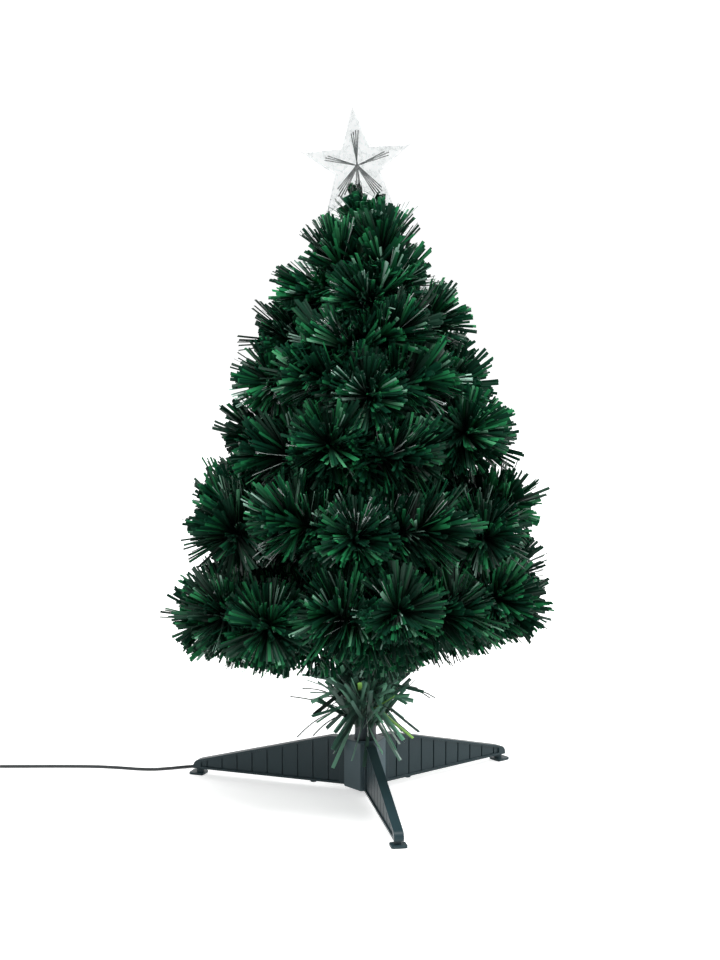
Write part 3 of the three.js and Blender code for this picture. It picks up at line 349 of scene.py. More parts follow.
class Stock:
    """Gathers the points and faces of one piece."""

    def __init__(self):
        self.points, self.groups, self.values, self.count = [], [], {}, 0

    def add(self, points, faces, number, **values):
        """Adds a shape's points, its faces and its values at each point."""
        for group in faces:
            self.groups.append((group + self.count, number))
        self.points.append(points)
        for label in ("shade", "along"):
            value = values.get(label, 0.5)
            self.values.setdefault(label, []).append(np.broadcast_to(value, len(points)))
        self.count += len(points)

    def add_tubes(self, paths, radius, sides, number):
        """Adds a tube along each path."""
        points, quads, caps = tubes(paths, radius, sides)
        self.add(points, (quads, caps), number)

    def piece(self, name, materials, body, smooth=False):
        """Makes the piece."""
        values = {label: np.concatenate(parts) for label, parts in self.values.items()}
        return add_piece(name, np.concatenate(self.points), self.groups, materials, body, values, smooth)


def merged_copy(node, name, material, edge=0.0, smooth_angle=35):
    """A CAD node's mesh with its corners merged and flat faces joined, its edges rounded by edge.

    Faces of many corners are cut into triangles again before the rounding, so that it fills them cleanly.
    """
    mesh = frame["nodes"][node].data.copy()
    mesh.name = name
    work = bmesh.new()
    work.from_mesh(mesh)
    bmesh.ops.remove_doubles(work, verts=work.verts, dist=1e-6)
    bmesh.ops.dissolve_limit(
        work, angle_limit=math.radians(0.5), verts=work.verts, edges=work.edges, use_dissolve_boundaries=False
    )
    if edge:
        bmesh.ops.triangulate(work, faces=[face for face in work.faces if len(face.verts) > 5])
    work.to_mesh(mesh)
    work.free()
    mesh.materials.clear()
    mesh.materials.append(material)
    mesh.polygons.foreach_set("use_smooth", np.full(len(mesh.polygons), True))
    mesh.set_sharp_from_angle(angle=math.radians(smooth_angle))
    piece = bpy.data.objects.new(name, mesh)
    bpy.context.scene.collection.objects.link(piece)
    if edge:
        bevel = piece.modifiers.new("Moulded edge", "BEVEL")
        bevel.width = edge
        bevel.segments = 2
        bevel.limit_method = "ANGLE"
        bevel.angle_limit = math.radians(40)
        bevel.use_clamp_overlap = True
        flat = piece.modifiers.new("Flat faces", "WEIGHTED_NORMAL")
        flat.mode = "FACE_AREA"
        flat.weight = 100
    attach(piece, NODE_BODY[node])
    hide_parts(node)
    return piece


def dress(node, material):
    """Gives a CAD node its material."""
    mesh = frame["nodes"][node].data
    mesh.materials.clear()
    mesh.materials.append(material)


# Materials


def add_node(tree, kind, settings=None, values=None, links=None):
    """Adds one node with its settings, its sockets' values and its incoming links."""
    node = tree.nodes.new(kind)
    for label, value in (settings or {}).items():
        setattr(node, label, value)
    for socket, value in (values or {}).items():
        node.inputs[socket].default_value = value
    for socket, source in (links or {}).items():
        tree.links.new(source, node.inputs[socket])
    return node


def new_material(name):
    """A new node material, its tree and its Object coordinates, or no tree if one of that name exists."""
    material = bpy.data.materials.get(name)
    if material:
        return material, None, None
    material = bpy.data.materials.new(name)
    material.use_nodes = True
    tree = material.node_tree
    tree.nodes.clear()
    return material, tree, add_node(tree, "ShaderNodeTexCoord").outputs["Object"]


def ray_share(tree, *kinds):
    """1 for rays of the given kinds of Light Path, and 0 for all others."""
    rays = add_node(tree, "ShaderNodeLightPath")
    share = rays.outputs[kinds[0]]
    for kind in kinds[1:]:
        either = add_node(
            tree, "ShaderNodeMath", {"operation": "MAXIMUM"}, links={0: share, 1: rays.outputs[kind]}
        )
        share = either.outputs[0]
    return share


def noise(tree, place, scale, detail, **values):
    """The share of a noise texture at each place."""
    values = {"Scale": scale, "Detail": detail, **values}
    return add_node(tree, "ShaderNodeTexNoise", None, values, {"Vector": place}).outputs["Fac"]


def spread(tree, share, low, high, start=0, stop=1):
    """Low where the share is at most the start, high where it is at least the stop, and even between."""
    values = {"From Min": start, "From Max": stop, "To Min": low, "To Max": high}
    return add_node(tree, "ShaderNodeMapRange", None, values, {"Value": share}).outputs["Result"]


def finish_material(tree, values, links):
    """Ends a material in a principled shader with these values and links."""
    shader = add_node(tree, "ShaderNodeBsdfPrincipled", None, values, links)
    add_node(tree, "ShaderNodeOutputMaterial", links={"Surface": shader.outputs[0]})


def needle_film(name="calendered PVC needle film", loose=False):
    """Calendered PVC film, cut into needles.

    Each needle has its own green at random, darker towards the wire as painted shade inside the brush, and
    the smooth film gives a pale glint. The palest grey-green needles are painted sheen, and the loose
    needles' lighter, greyer greens are painted backlight.
    """
    material, tree, place = new_material(name)
    if tree:
        c = colours()
        tones = (c.needle_dark, c.needle_mid, c.needle_light, c.needle_painted_sheen)
        # Painted backlight: the loose needles take lighter, greyer greens.
        if loose:
            tones = (c.loose_dark, c.loose_mid, c.loose_light, c.loose_pale)
        shade = add_node(tree, "ShaderNodeAttribute", {"attribute_name": "shade"})
        along = add_node(tree, "ShaderNodeAttribute", {"attribute_name": "along"})
        greens = add_node(tree, "ShaderNodeValToRGB", links={"Fac": shade.outputs["Fac"]})
        ramp = greens.color_ramp
        for share in (0.55, 0.85):
            ramp.elements.new(share)
        for stop, tone in zip(ramp.elements, tones):
            stop.color = tuple(tone)
        # Painted shade: each needle darkens towards the wire, as inside the brush; the loose ones less so.
        depth = spread(tree, along.outputs["Fac"], 0.5 if loose else 0.13, 1.17, start=0.3)
        rough = spread(tree, noise(tree, place, 140, 1), 0.32, 0.54)
        tint = add_node(
            tree, "ShaderNodeVectorMath", {"operation": "SCALE"},
            links={0: greens.outputs["Color"], "Scale": depth},
        )
        finish_material(
            tree, {"IOR": 1.54, "Specular IOR Level": 0.5 if loose else 0.17},
            {"Base Color": tint.outputs["Vector"], "Roughness": rough},
        )
    return material


def moulded_plastic(name, tone, roughness, grain_mm, depth, shine=0.5):
    """Injection-moulded plastic: one colour with a faint drift, and the fine grain of the tool's surface.

    The grain is drawn as coarse as it needs to be to show. Shine is the specular level.
    """
    material, tree, place = new_material(name)
    if tree:
        grain = noise(tree, place, 1000 / grain_mm, 2)
        drift = noise(tree, place, 22, 3)
        lift = spread(tree, drift, 0.88, 1.14)
        tint = add_node(
            tree, "ShaderNodeVectorMath", {"operation": "SCALE"}, {0: tuple(tone)[:3]}, {"Scale": lift}
        )
        rough = spread(tree, grain, roughness - 0.06, roughness + 0.06)
        relief = add_node(
            tree, "ShaderNodeBump", None, {"Strength": 0.5, "Distance": depth}, {"Height": grain}
        )
        finish_material(
            tree, {"IOR": 1.5, "Specular IOR Level": shine},
            {"Base Color": tint.outputs["Vector"], "Roughness": rough, "Normal": relief.outputs["Normal"]},
        )
    return material


def clear_acrylic(name, tone, roughness, painted_slant_shade="#b4bcbc", mottle=0.0):
    """Clear acrylic, moulded and polished: greyer where the eye meets it at a slant, as painted shade for the
    darker things seen through it there.

    The mottle is how much of a faint grey cloud it has inside.
    """
    material, tree, place = new_material(name)
    if tree:
        haze = noise(tree, place, 180, 3, Roughness=0.7)
        rough = spread(tree, haze, roughness, roughness + 0.07)
        # Painted shade: the tone greys towards the second tone where the surface is seen at a slant.
        facing = add_node(tree, "ShaderNodeLayerWeight", values={"Blend": 0.35})
        tint = add_node(
            tree, "ShaderNodeMix", {"data_type": "RGBA"}, {"A": linear(tone), "B": linear(painted_slant_shade)},
            {"Factor": facing.outputs["Facing"]},
        )
        cloud = spread(tree, haze, 0, mottle, start=0.48, stop=0.62)
        clouded = add_node(
            tree, "ShaderNodeMix", {"data_type": "RGBA"}, {"B": linear("#8f9898")},
            {"Factor": cloud, "A": tint.outputs["Result"]},
        )
        finish_material(
            tree, {"IOR": 1.49, "Transmission Weight": 1.0},
            {"Roughness": rough, "Base Color": clouded.outputs["Result"]},
        )
    return material


def light_fibre(name="drawn acrylic light fibre", low="#8fa099", high="#dfe9e5"):
    """Drawn acrylic fibre: a thin line, glassy at its edges, its colour drifting at random from low to high;
    the grey is painted, standing in for dark things it bends from behind.
    """
    material, tree, place = new_material(name)
    if tree:
        drift = noise(tree, place, 90, 1)
        tint = add_node(
            tree, "ShaderNodeMix", {"data_type": "RGBA"}, {"A": linear(low), "B": linear(high)},
            {"Factor": drift},
        )
        finish_material(
            tree, {"Roughness": 0.16, "IOR": 1.49, "Transmission Weight": 0.55},
            {"Base Color": tint.outputs["Result"]},
        )
    return material


def plated_metal(name, tone, roughness):
    """Drawn and plated metal: fine lines round it that stretch the glint."""
    material, tree, place = new_material(name)
    if tree:
        lines = noise(tree, place, 900, 2)
        rough = spread(tree, lines, roughness - 0.05, roughness + 0.1)
        finish_material(tree, {"Base Color": linear(tone), "Metallic": 1.0}, {"Roughness": rough})
    return material


def stand_plastic(hub=False):
    """Moulded polypropylene, satin: broad, soft highlights along the ribs. The hub is paler: painted light,
    as its faces catch more light than the legs'.
    """
    if hub:
        return moulded_plastic("moulded polypropylene, satin, hub", colours().hub, 0.4, 0.5, 0.00008, 0.32)
    return moulded_plastic("moulded polypropylene, satin", colours().stand, 0.4, 0.5, 0.00008, 0.28)


def wound_tape():
    """Green PVC tape wound round the trunk and the crown's foot: dark, with a dull even sheen."""
    return moulded_plastic("wound green tape", linear(GREEN_PVC), 0.5, 0.8, 0.00004)


def cord_cover():
    """Extruded soft PVC: smooth and dark, with a dull glint along its length."""
    return moulded_plastic("extruded soft PVC", colours().cord, 0.42, 0.8, 0.00003)


# Branches


def branch_plan(row, wire):
    """One branch's wire and twigs as quadratic curves: the solids' plan, its tips bent as ROWS says."""
    _, wires, tips, height, out, root, turn, lifts, _, wider, sideways = row
    angle = math.radians(turn + 360 * wire / wires)
    ends = []
    for i in range(tips):
        tip_turn = angle + (i - (tips - 1) / 2) * 2 * math.pi / (wires * tips)
        distance = out * TRUNK_TOP + (wider + sideways * math.cos(tip_turn)) * MM
        ends.append(polar(tip_turn, distance, height * TRUNK_TOP + lifts[wire * tips + i] * TUFT_REACH))
    ends = np.array(ends)
    middle = ends.mean(0)
    face = polar(angle, BINDING_RADIUS + WIRE_RADIUS, root * TRUNK_TOP)
    bend = face + (middle - face) * BEND_SHARE
    bend[2] = root * TRUNK_TOP + (middle[2] - root * TRUNK_TOP) * BEND_SHARE**2
    whole = (face, bend, middle)
    (fork,), (way,) = curve_points(whole, [FORK_SHARE])
    twigs = [(fork, fork + way * np.linalg.norm(end - fork) / 2, end) for end in ends]
    return whole, twigs


def brush(rng, path, start, stop, count, lean, reach, rise=0.0, pale=0.02):
    """Needles round a stretch of a quadratic curve, in flat fans as the slit film leaves the twisted wire.

    A fan stands at a share of the curve, at a turn round it that grows by the golden angle. Its needles
    spread evenly over the fan's width, lean from the wire by lean, and lie nearly flat in the fan. The
    fans differ in reach and lean, more so towards the stretch's end. All needles are pulled upwards by
    rise, and those that point down are up to a sixth shorter. Pale is the share of pale grey-green
    needles, thinner and in a few fans, that are painted sheen; pale is also added to every needle's
    shade, as painted light that lifts the upper rows.
    """
    fan = FAN_NEEDLES
    fans = max(1, round(count / fan))

    def per_fan(values):
        return np.repeat(values, fan, 0)

    order = ((np.arange(fans) + rng.random(fans)) / fans) ** 0.8
    share = per_fan(start + (stop - start) * order)
    number = np.tile(np.arange(fan) - (fan - 1) / 2, fans) / fan
    turn = per_fan(np.arange(fans) * GOLDEN_ANGLE + rng.normal(0, 0.3, fans)) + number * per_fan(
        rng.uniform(0.3, 0.8, fans)
    )
    lean_at = np.interp(share, [start, stop], lean)
    lean_at = lean_at + per_fan(rng.uniform(-1, 1, fans)) * np.interp(share, [start, stop], [0.16, 0.44])
    lean_at = lean_at + number * per_fan(rng.normal(0, 0.25, fans)) + rng.normal(0, 0.05, fans * fan)
    turn = turn + rng.normal(0, 0.05, fans * fan)
    share = np.clip(share + number * 0.02 + rng.normal(0, 0.006, fans * fan), 0, 1)
    shade = per_fan(rng.normal(0.46, 0.14, fans)) + rng.normal(0, 0.15, fans * fan)
    # Painted sheen: in a few fans most needles turn pale grey-green and thinner; pale also lifts every shade
    # as painted light.
    painted_sheen = per_fan(rng.random(fans) < 2 * pale) & (rng.random(fans * fan) < 0.6)
    shade = np.where(painted_sheen, 1, shade + pale)
    points, ways = curve_points(path, share)
    across, over = square_to(ways)
    out = turned(across, over, turn)
    way = unit(turned(ways, out, lean_at) + [0, 0, rise])
    flat = unit(np.cross(ways, out))
    flat = unit(flat - way * (flat * way).sum(1, keepdims=True))
    edge = np.cross(way, flat)
    twist = per_fan(rng.normal(0, 0.6, fans)) + rng.normal(0, 0.25, fans * fan)
    side = turned(flat, edge, twist)
    length = reach * per_fan(rng.uniform(0.84, 1.12, fans)) * rng.uniform(0.88, 1.03, len(share))
    length = length * (1 - 0.16 * np.clip(-way[:, 2], 0, 1))
    stray = per_fan(rng.normal(0, 2.6 * MM, (fans, 3))) + rng.normal(0, 0.5 * MM, (fans * fan, 3))
    return points + way * 0.8 * MM, way, side, length, stray, np.clip(shade, 0, 1)


def add_needles(stock, rng, needles, width_share=1.0):
    """Adds needles to a piece's stock. Painted-sheen ones, whose shade is 1, are thinner."""
    base, way, side, length, bend, shade = needles
    width = sizes().needle_width * width_share * rng.uniform(0.8, 1.15, len(base))
    width = np.where(shade >= 1, PAINTED_SHEEN_WIDTH_SHARE * width, width)
    points, quads, caps, along = strips(base, way, side, length, width, bend)
    stock.add(points, (quads, caps), 0, shade=np.repeat(shade, NEEDLE_POINTS), along=along)


def add_fibres(stock, rng, path, count):
    """Light fibres that leave a twig near its end in one or two tight fans, some with a round end.

    A fibre's line is start + way * length * t + droop * t^2.
    """
    fan = (np.arange(count) < count * 0.6).astype(int)
    share = rng.uniform(0.55, 0.94, 2)[fan] + rng.normal(0, 0.02, count)
    points, ways = curve_points(path, share)
    across, over = square_to(ways)
    turn = rng.uniform(0, 2 * math.pi, 2)[fan] + rng.normal(0, 0.2, count)
    lean = rng.uniform(0.4, 1.0, 2)[fan] + rng.normal(0, 0.14, count)
    way = unit(turned(ways, turned(across, over, turn), lean))
    length = sizes().needle_length * rng.uniform(0.9, 1.16, count)
    droop = rng.normal(0, 1.5 * MM, (count, 3))
    t = np.linspace(0, 1, 5)[None, :, None]
    paths = points[:, None] + way[:, None] * length[:, None, None] * t + droop[:, None] * t**2
    stock.add_tubes(paths, sizes().fibre_radius, 4, 0)
    ends = paths[:, -1][: max(1, count // 4)]
    shape, faces = beads(ends, rng.uniform(1.1, 1.7, len(ends)) * MM)
    stock.add(shape, (faces,), 1)


class TREE_OT_branches(bpy.types.Operator):
    """Builds each branch: its wires, its brush of needles and its light fibres"""

    bl_idname = "tree.branches"
    bl_label = "Branches"

    def execute(self, context):
        size = sizes()
        film, fibre = needle_film(), light_fibre()
        # Soft PVC drawn over the wire: a dark green line with a dull sheen. The beads are small clear dots.
        wire_cover = moulded_plastic("green PVC wire cover", linear(GREEN_PVC), 0.45, 0.8, 0.00004)
        bead = clear_acrylic("clear acrylic bead", "#eef6f5", 0.05)
        for row_number, row in enumerate(ROWS):
            for wire in range(row[1]):
                rng = np.random.default_rng(100 * row_number + wire)
                whole, twigs = branch_plan(row, wire)
                number = f"{row[0]}_{wire + 1}"
                node = f"branch_{number}"
                stock, lights = Stock(), Stock()
                length = np.linalg.norm(np.subtract(whole[2], whole[0])) * FORK_SHARE
                count = STEM_NEEDLES_PER_METRE * length
                inner = brush(rng, whole, 0.1, FORK_SHARE, count, STEEP_LEAN, size.needle_length, 0.1)
                add_needles(stock, rng, inner)
                stem, _ = curve_points(whole, np.linspace(0, FORK_SHARE, 8))
                stock.add_tubes(stem[None], STEM_RADIUS, 6, 1)
                rise = 0.06 * row_number
                # Painted light: the upper rows get more pale sheen needles and lighter shades, as their top
                # is lit more.
                pale = 0.02 if row_number < 5 else 0.06
                for twig in twigs:
                    reach = size.needle_length * rng.uniform(0.95, 1.08)
                    length = np.linalg.norm(twig[2] - twig[0])
                    brush_share = max(0.2, 1 - BRUSH_LENGTH / length)
                    middle = math.radians(row[8]) + rng.normal(0, 0.08)
                    lean = (middle + 0.24, middle - 0.34)
                    count = size.needles_per_mm / MM * length * (1 - brush_share)
                    rest = TWIG_NEEDLES_PER_METRE * length * brush_share
                    # The tip's brush, the short needles that close its end, and those along the twig.
                    for stretch in (
                        (brush_share, 1, count, lean, reach, rise, pale),
                        (0.95, 1, END_NEEDLES, END_LEAN, reach * 0.7, rise, pale),
                        (0, brush_share, rest, STEEP_LEAN, reach, rise),
                    ):
                        add_needles(stock, rng, brush(rng, twig, *stretch))
                    line, _ = curve_points(twig, np.linspace(0, 1, 10))
                    stock.add_tubes(line[None], TWIG_RADIUS, 6, 1)
                    share = rng.choice([0.4, 1.2, 4], p=[0.46, 0.34, 0.2]) * (2 if row_number > 4 else 1)
                    add_fibres(lights, rng, twig, max(1, round(size.fibres_per_tip * share)))
                piece = stock.piece(f"needles_{number}", [film, wire_cover], NODE_BODY[node])
                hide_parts(node)
                lamp = lights.piece(f"fibres_{number}", [fibre, bead], NODE_BODY[node], smooth=True)
        return {"FINISHED"}


def star_place(points):
    """Points of the star's own frame, x across, y through and z up its stem, put in the tree's frame."""
    x, y, z = np.moveaxis(np.asarray(points, float), -1, 0)
    across = x * math.cos(STAR_TILT) + z * math.sin(STAR_TILT)
    up = z * math.cos(STAR_TILT) - x * math.sin(STAR_TILT)
    return np.stack([across, y, up], -1) + [0, 0, TRUNK_TOP]


def free_needles(rng, base, way, reach, stray):
    """Needles from given points and ways, each with its own twist, length, bend and shade."""
    count = len(base)
    twist = rng.uniform(0, math.pi, count)
    side = turned(*square_to(way), twist)
    length = reach * rng.uniform(0.85, 1.04, count)
    bend = rng.normal(0, stray, (count, 3))
    return base, way, side, length, bend, np.clip(rng.normal(0.5, 0.2, count), 0, 1)


class TREE_OT_crown(bpy.types.Operator):
    """Builds the crown's needles round the foot of the star and the needles along the trunk"""

    bl_idname = "tree.crown"
    bl_label = "Crown and trunk needles"

    def execute(self, context):
        rng = np.random.default_rng(7)
        stock = Stock()
        column = star_place([[0, 0, z * MM] for z in (22, 35, 48)])
        # Painted light: the crown's needles get the most pale sheen needles and the lightest shades.
        add_needles(stock, rng, brush(rng, column, 0, 1, 190, END_LEAN, 34 * MM, pale=0.1), 1.5)
        ring, faces = tape_ring([(6.6, 35), (9, 35), (9, 43), (6.6, 43)])
        stock.add(star_place(ring), (faces,), 1)
        piece = stock.piece("needles_crown", [needle_film(), wound_tape()], "tree")
        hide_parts("crown_needles")

        count = 1500
        height = rng.uniform(0.135, 0.5, count)
        turn = rng.uniform(0, 2 * math.pi, count)
        rise = np.radians(rng.uniform(-25, 45, count))
        base = polar(turn, TRUNK_FACE, height)
        way = turned(polar(turn), np.array([0, 0, 1.0]), rise)
        inner = Stock()
        add_needles(inner, rng, free_needles(rng, base, way, 42 * MM, 1.2 * MM))
        trunk = inner.piece("needles_trunk", [needle_film()], "tree")
        return {"FINISHED"}


class TREE_OT_loose_needles(bpy.types.Operator):
    """Builds the loose needles taped round the lower trunk, with a few stray light fibres"""

    bl_idname = "tree.loose_needles"
    bl_label = "Loose needles"

    def execute(self, context):
        rng = np.random.default_rng(21)
        stock = Stock()
        # Steep ones that hug the trunk, spreading ones, and drooping ones that hang over the hub.
        for count, low, high, rise, scatter, reach in (
            (200, 64, 106, 58, 15, 46), (50, 76, 112, 8, 26, 50), (26, 66, 92, -48, 14, 46),
        ):
            height = rng.uniform(low, high, count) * MM
            turn = rng.uniform(0, 2 * math.pi, count)
            tilt = np.radians((rise + rng.normal(0, scatter, count)).clip(-66, 84))
            base = polar(turn, WRAP_FACE, height)
            skew = polar(turn + math.pi / 2) * rng.normal(0, 0.3, count)[:, None]
            way = unit(turned(polar(turn), np.array([0, 0, 1.0]), tilt) + skew)
            needles = list(free_needles(rng, base, way, reach * MM, 1.8 * MM))
            needles[5] = np.where(rng.random(count) < 0.03, 0.99, rng.normal(0.5, 0.25, count).clip(0, 0.82))
            add_needles(stock, rng, needles, 1.25)
        # A few light fibres have come loose and bend down.
        count = 16
        turn = rng.uniform(0, 2 * math.pi, count)
        out = polar(turn, 1, rng.uniform(-0.1, 0.9, count))
        foot = polar(turn, STRAY_FACE, rng.uniform(0.075, 0.1, count))
        t = np.linspace(0, 1, 9)[None, :, None]
        reach = (rng.uniform(42, 66, count) * MM)[:, None, None]
        sag = np.zeros((count, 1, 3))
        sag[:, 0, 2] = -rng.uniform(6, 40, count) * MM
        paths = foot[:, None] + unit(out)[:, None] * reach * t + sag * t**2
        stock.add_tubes(paths, 0.65 * MM, 5, 2)
        ring, faces = tape_ring([(10.5, 74), (12.6, 74.4), (12.8, 101.6), (10.5, 102)])
        stock.add(ring, (faces,), 1)
        # Offcuts catch more light than the needles in the crown: a stronger gloss, and lighter, greyer greens
        # that are painted backlight. Stray fibres look like grey threads, their grey painted like the other
        # fibres'.
        film = needle_film("PVC needle film, loose offcuts", loose=True)
        stray = light_fibre("stray light fibre", "#39423f", "#7d8885")
        piece = stock.piece("needles_loose", [film, wound_tape(), stray], "tree")
        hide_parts("trunk_needle_wrap")
        return {"FINISHED"}


class TREE_OT_star(bpy.types.Operator):
    """Finishes the clear star, its stem and the light fibres inside"""

    bl_idname = "tree.star"
    bl_label = "Star"

    def execute(self, context):
        # Clear shells with grey edges at their ridges, painted shade where they are seen at a slant, and a
        # faint grey cloud.
        shell = clear_acrylic("moulded clear acrylic", "#fafbfb", 0.02, "#949c9b", 0.22)
        for node in ("star_front_shell", "star_back_shell"):
            piece = merged_copy(node, f"dressed_{node}", shell, edge=0.25 * MM, smooth_angle=12)
        stem = merged_copy("star_stem", "dressed_star_stem", shell, edge=0.3 * MM)
        rng = np.random.default_rng(5)
        # The fibres rise from the stem in a loose bundle, cross at the star's middle and fan into the arms.
        arms = np.repeat(np.arange(5), (4, 3, 5, 5, 3))
        counts = np.bincount(arms)
        rank = np.concatenate([np.arange(n) - (n - 1) / 2 for n in counts])
        turn = math.pi / 2 + arms * math.radians(72) + rank * math.radians(4)
        out = STAR_RADIUS * rng.uniform(0.52, 0.62, len(turn))
        depth = rng.normal(0, 0.8 * MM, len(turn))
        ends = np.stack([out * np.cos(turn), depth, out * np.sin(turn) + STAR_CENTRE], 1)
        middle = np.stack([rank * 0.3 * MM, depth * 0.4, np.full(len(turn), STAR_CENTRE)], 1)
        foot = middle + np.stack([rank * 1.4 * MM, 0 * rank, -24 * MM + 0 * rank], 1)
        t = np.linspace(0, 1, 9)[None, :, None]
        arm_way = unit(ends - middle)
        knee = middle + arm_way * 4 * MM
        rise = foot[:, None] + (middle - foot)[:, None] * t
        bow = (1 - t) ** 2 * middle[:, None] + 2 * t * (1 - t) * knee[:, None] + t**2 * ends[:, None]
        stock = Stock()
        for paths in (rise[::5], bow):
            stock.add_tubes(star_place(paths), 0.5 * MM, 7, 0)
        # Seen through the shells, the fibres look like dark grey lines; that dark grey is painted shade.
        grey = light_fibre("light fibre inside the star", "#222827", "#717c7a")
        piece = stock.piece("star_light_fibres", [grey], "star", smooth=True)
        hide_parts("star_fibres")
        return {"FINISHED"}


class TREE_OT_stand(bpy.types.Operator):
    """Finishes the hub, the legs and the feet, with rounded moulded edges"""

    bl_idname = "tree.stand"
    bl_label = "Stand"

    def execute(self, context):
        edge = sizes().stand_edge
        sides = ("front", "right", "left")
        for node in ("stand_hub", *(f"leg_{side}" for side in sides), *(f"foot_{side}" for side in sides)):
            piece = merged_copy(node, f"moulded_{node}", stand_plastic(node == "stand_hub"), edge=edge)
        return {"FINISHED"}


class TREE_OT_trunk(bpy.types.Operator):
    """Finishes the trunk tube, its cap, the fibre bundle and the light source"""

    bl_idname = "tree.trunk"
    bl_label = "Trunk and light source"

    def execute(self, context):
        # A smooth grey tube with a dull glint down its length.
        tube = moulded_plastic("extruded PVC tube", colours().trunk, 0.38, 0.9, 0.00003)
        piece = merged_copy("trunk_tube", "smooth_trunk_tube", tube, smooth_angle=40)
        # Hidden: a green cap, a bright metal ferrule, a black housing, a green board and a clear lens.
        dress("trunk_top_cap", moulded_plastic("moulded cap plastic", linear("#16351f"), 0.45, 0.6, 0.00005))
        dress("fibre_bundle", light_fibre())
        dress("fibre_ferrule", plated_metal("drawn aluminium", "#c4c7c9", 0.3))
        dress("lamp_base_cap", stand_plastic())
        dress("lamp_housing", moulded_plastic("black ABS", colours().adaptor, 0.45, 0.5, 0.00005))
        board = moulded_plastic("solder mask on glass fibre", linear("#1f5b3a"), 0.3, 1.2, 0.00003)
        dress("lamp_board", board)
        dress("lamp_lens", clear_acrylic("clear lamp lens", "#f7fafa", 0.03))
        return {"FINISHED"}


def cord_points():
    """The cord's middle line, from its outlet to the adaptor's relief.

    The free stretch is a smooth curve through the listed points. In the coil the radius shrinks and
    grows at a steady rate with the turn, and the height climbs a layer round each turning back.
    """
    start = polar(OUTLET_TURN, OUTLET_DISTANCE, OUTLET_HEIGHT)
    straight = polar(OUTLET_TURN, OUTLET_DISTANCE + CORD_DIAMETER, OUTLET_HEIGHT)
    entry = np.array([COIL_CENTRE[0] + CORD_DIAMETER, COIL_CENTRE[1] + COIL_RADIUS, COIL_LOW])
    route = np.array([start, straight, *CORD_ROUTE, entry])
    padded = np.concatenate([[2 * route[0] - route[1]], route, [2 * route[-1] - route[-2]]])
    t = np.linspace(0, 1, 6, endpoint=False)[None, :, None]
    a, b, c, d = (padded[i : len(padded) - 3 + i][:, None] for i in range(4))
    free = 0.5 * (2 * b + (c - a) * t + (2 * a - 5 * b + 4 * c - d) * t**2 + (3 * b - a - 3 * c + d) * t**3)
    turns = np.arange(int(COIL_LAYERS * COIL_TURNS * 24) - 5) / 24
    layer = np.minimum(turns // COIL_TURNS, COIL_LAYERS - 1)
    inside = turns - layer * COIL_TURNS
    inwards = np.where(layer % 2 == 0, inside, COIL_TURNS - inside)
    radius = COIL_RADIUS - inwards * COIL_PITCH
    climbed = layer.copy()
    for k in range(1, COIL_LAYERS):
        begin = k * COIL_TURNS - 0.25
        rising = (turns > begin) & (turns < begin + 0.5)
        climbed[rising] = k - 1 + (turns[rising] - begin) * 2
    angle = math.pi / 2 + turns * 2 * math.pi
    coil = polar(angle, radius, COIL_LOW + climbed * COIL_PITCH) + [*COIL_CENTRE, 0]
    leave = coil[-1]
    end = np.array([leave[0], ADAPTOR_START - 0.3 * MM, ADAPTOR_HEIGHT])
    level = end - [0, CORD_DIAMETER, 0]
    run = level[1] - leave[1]
    first, second = leave + [0, run * 0.45, 0], level - [0, run * 0.45, 0]
    t = np.linspace(0, 1, 9)[1:, None]
    lead = (1 - t) ** 3 * leave + 3 * t * (1 - t) ** 2 * first + 3 * t**2 * (1 - t) * second + t**3 * level
    return np.concatenate([free.reshape(-1, 3), [route[-1]], coil, lead, [end]])


class TREE_OT_cord(bpy.types.Operator):
    """Builds the cord, its free stretch and its coil, and finishes its relief, tie and adaptor"""

    bl_idname = "tree.cord"
    bl_label = "Cord and adaptor"

    def execute(self, context):
        path = cord_points()
        points, quads, caps = tubes(path[None], CORD_DIAMETER / 2, 14)
        cover = cord_cover()
        cord = add_piece("cord", points, [(quads, 0), (caps, 0)], [cover], "stand", smooth=True)
        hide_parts("cord_run", "cord_coil")
        # Black ABS with the matt grain of its tool, and pins with a clean bright glint.
        shell = moulded_plastic("spark-eroded ABS", colours().adaptor, 0.48, 0.45, 0.00008)
        metal = plated_metal("nickel-plated brass", "#cdced0", 0.22)
        for node, material in (
            ("adaptor_body", shell), ("adaptor_cover", shell),
            ("adaptor_pin_lower", metal), ("adaptor_pin_upper", metal),
        ):
            dress(node, material)
        for node in ("cord_relief", "cord_tie", "adaptor_relief"):
            merged_copy(node, f"dressed_{node}", cover)
        return {"FINISHED"}


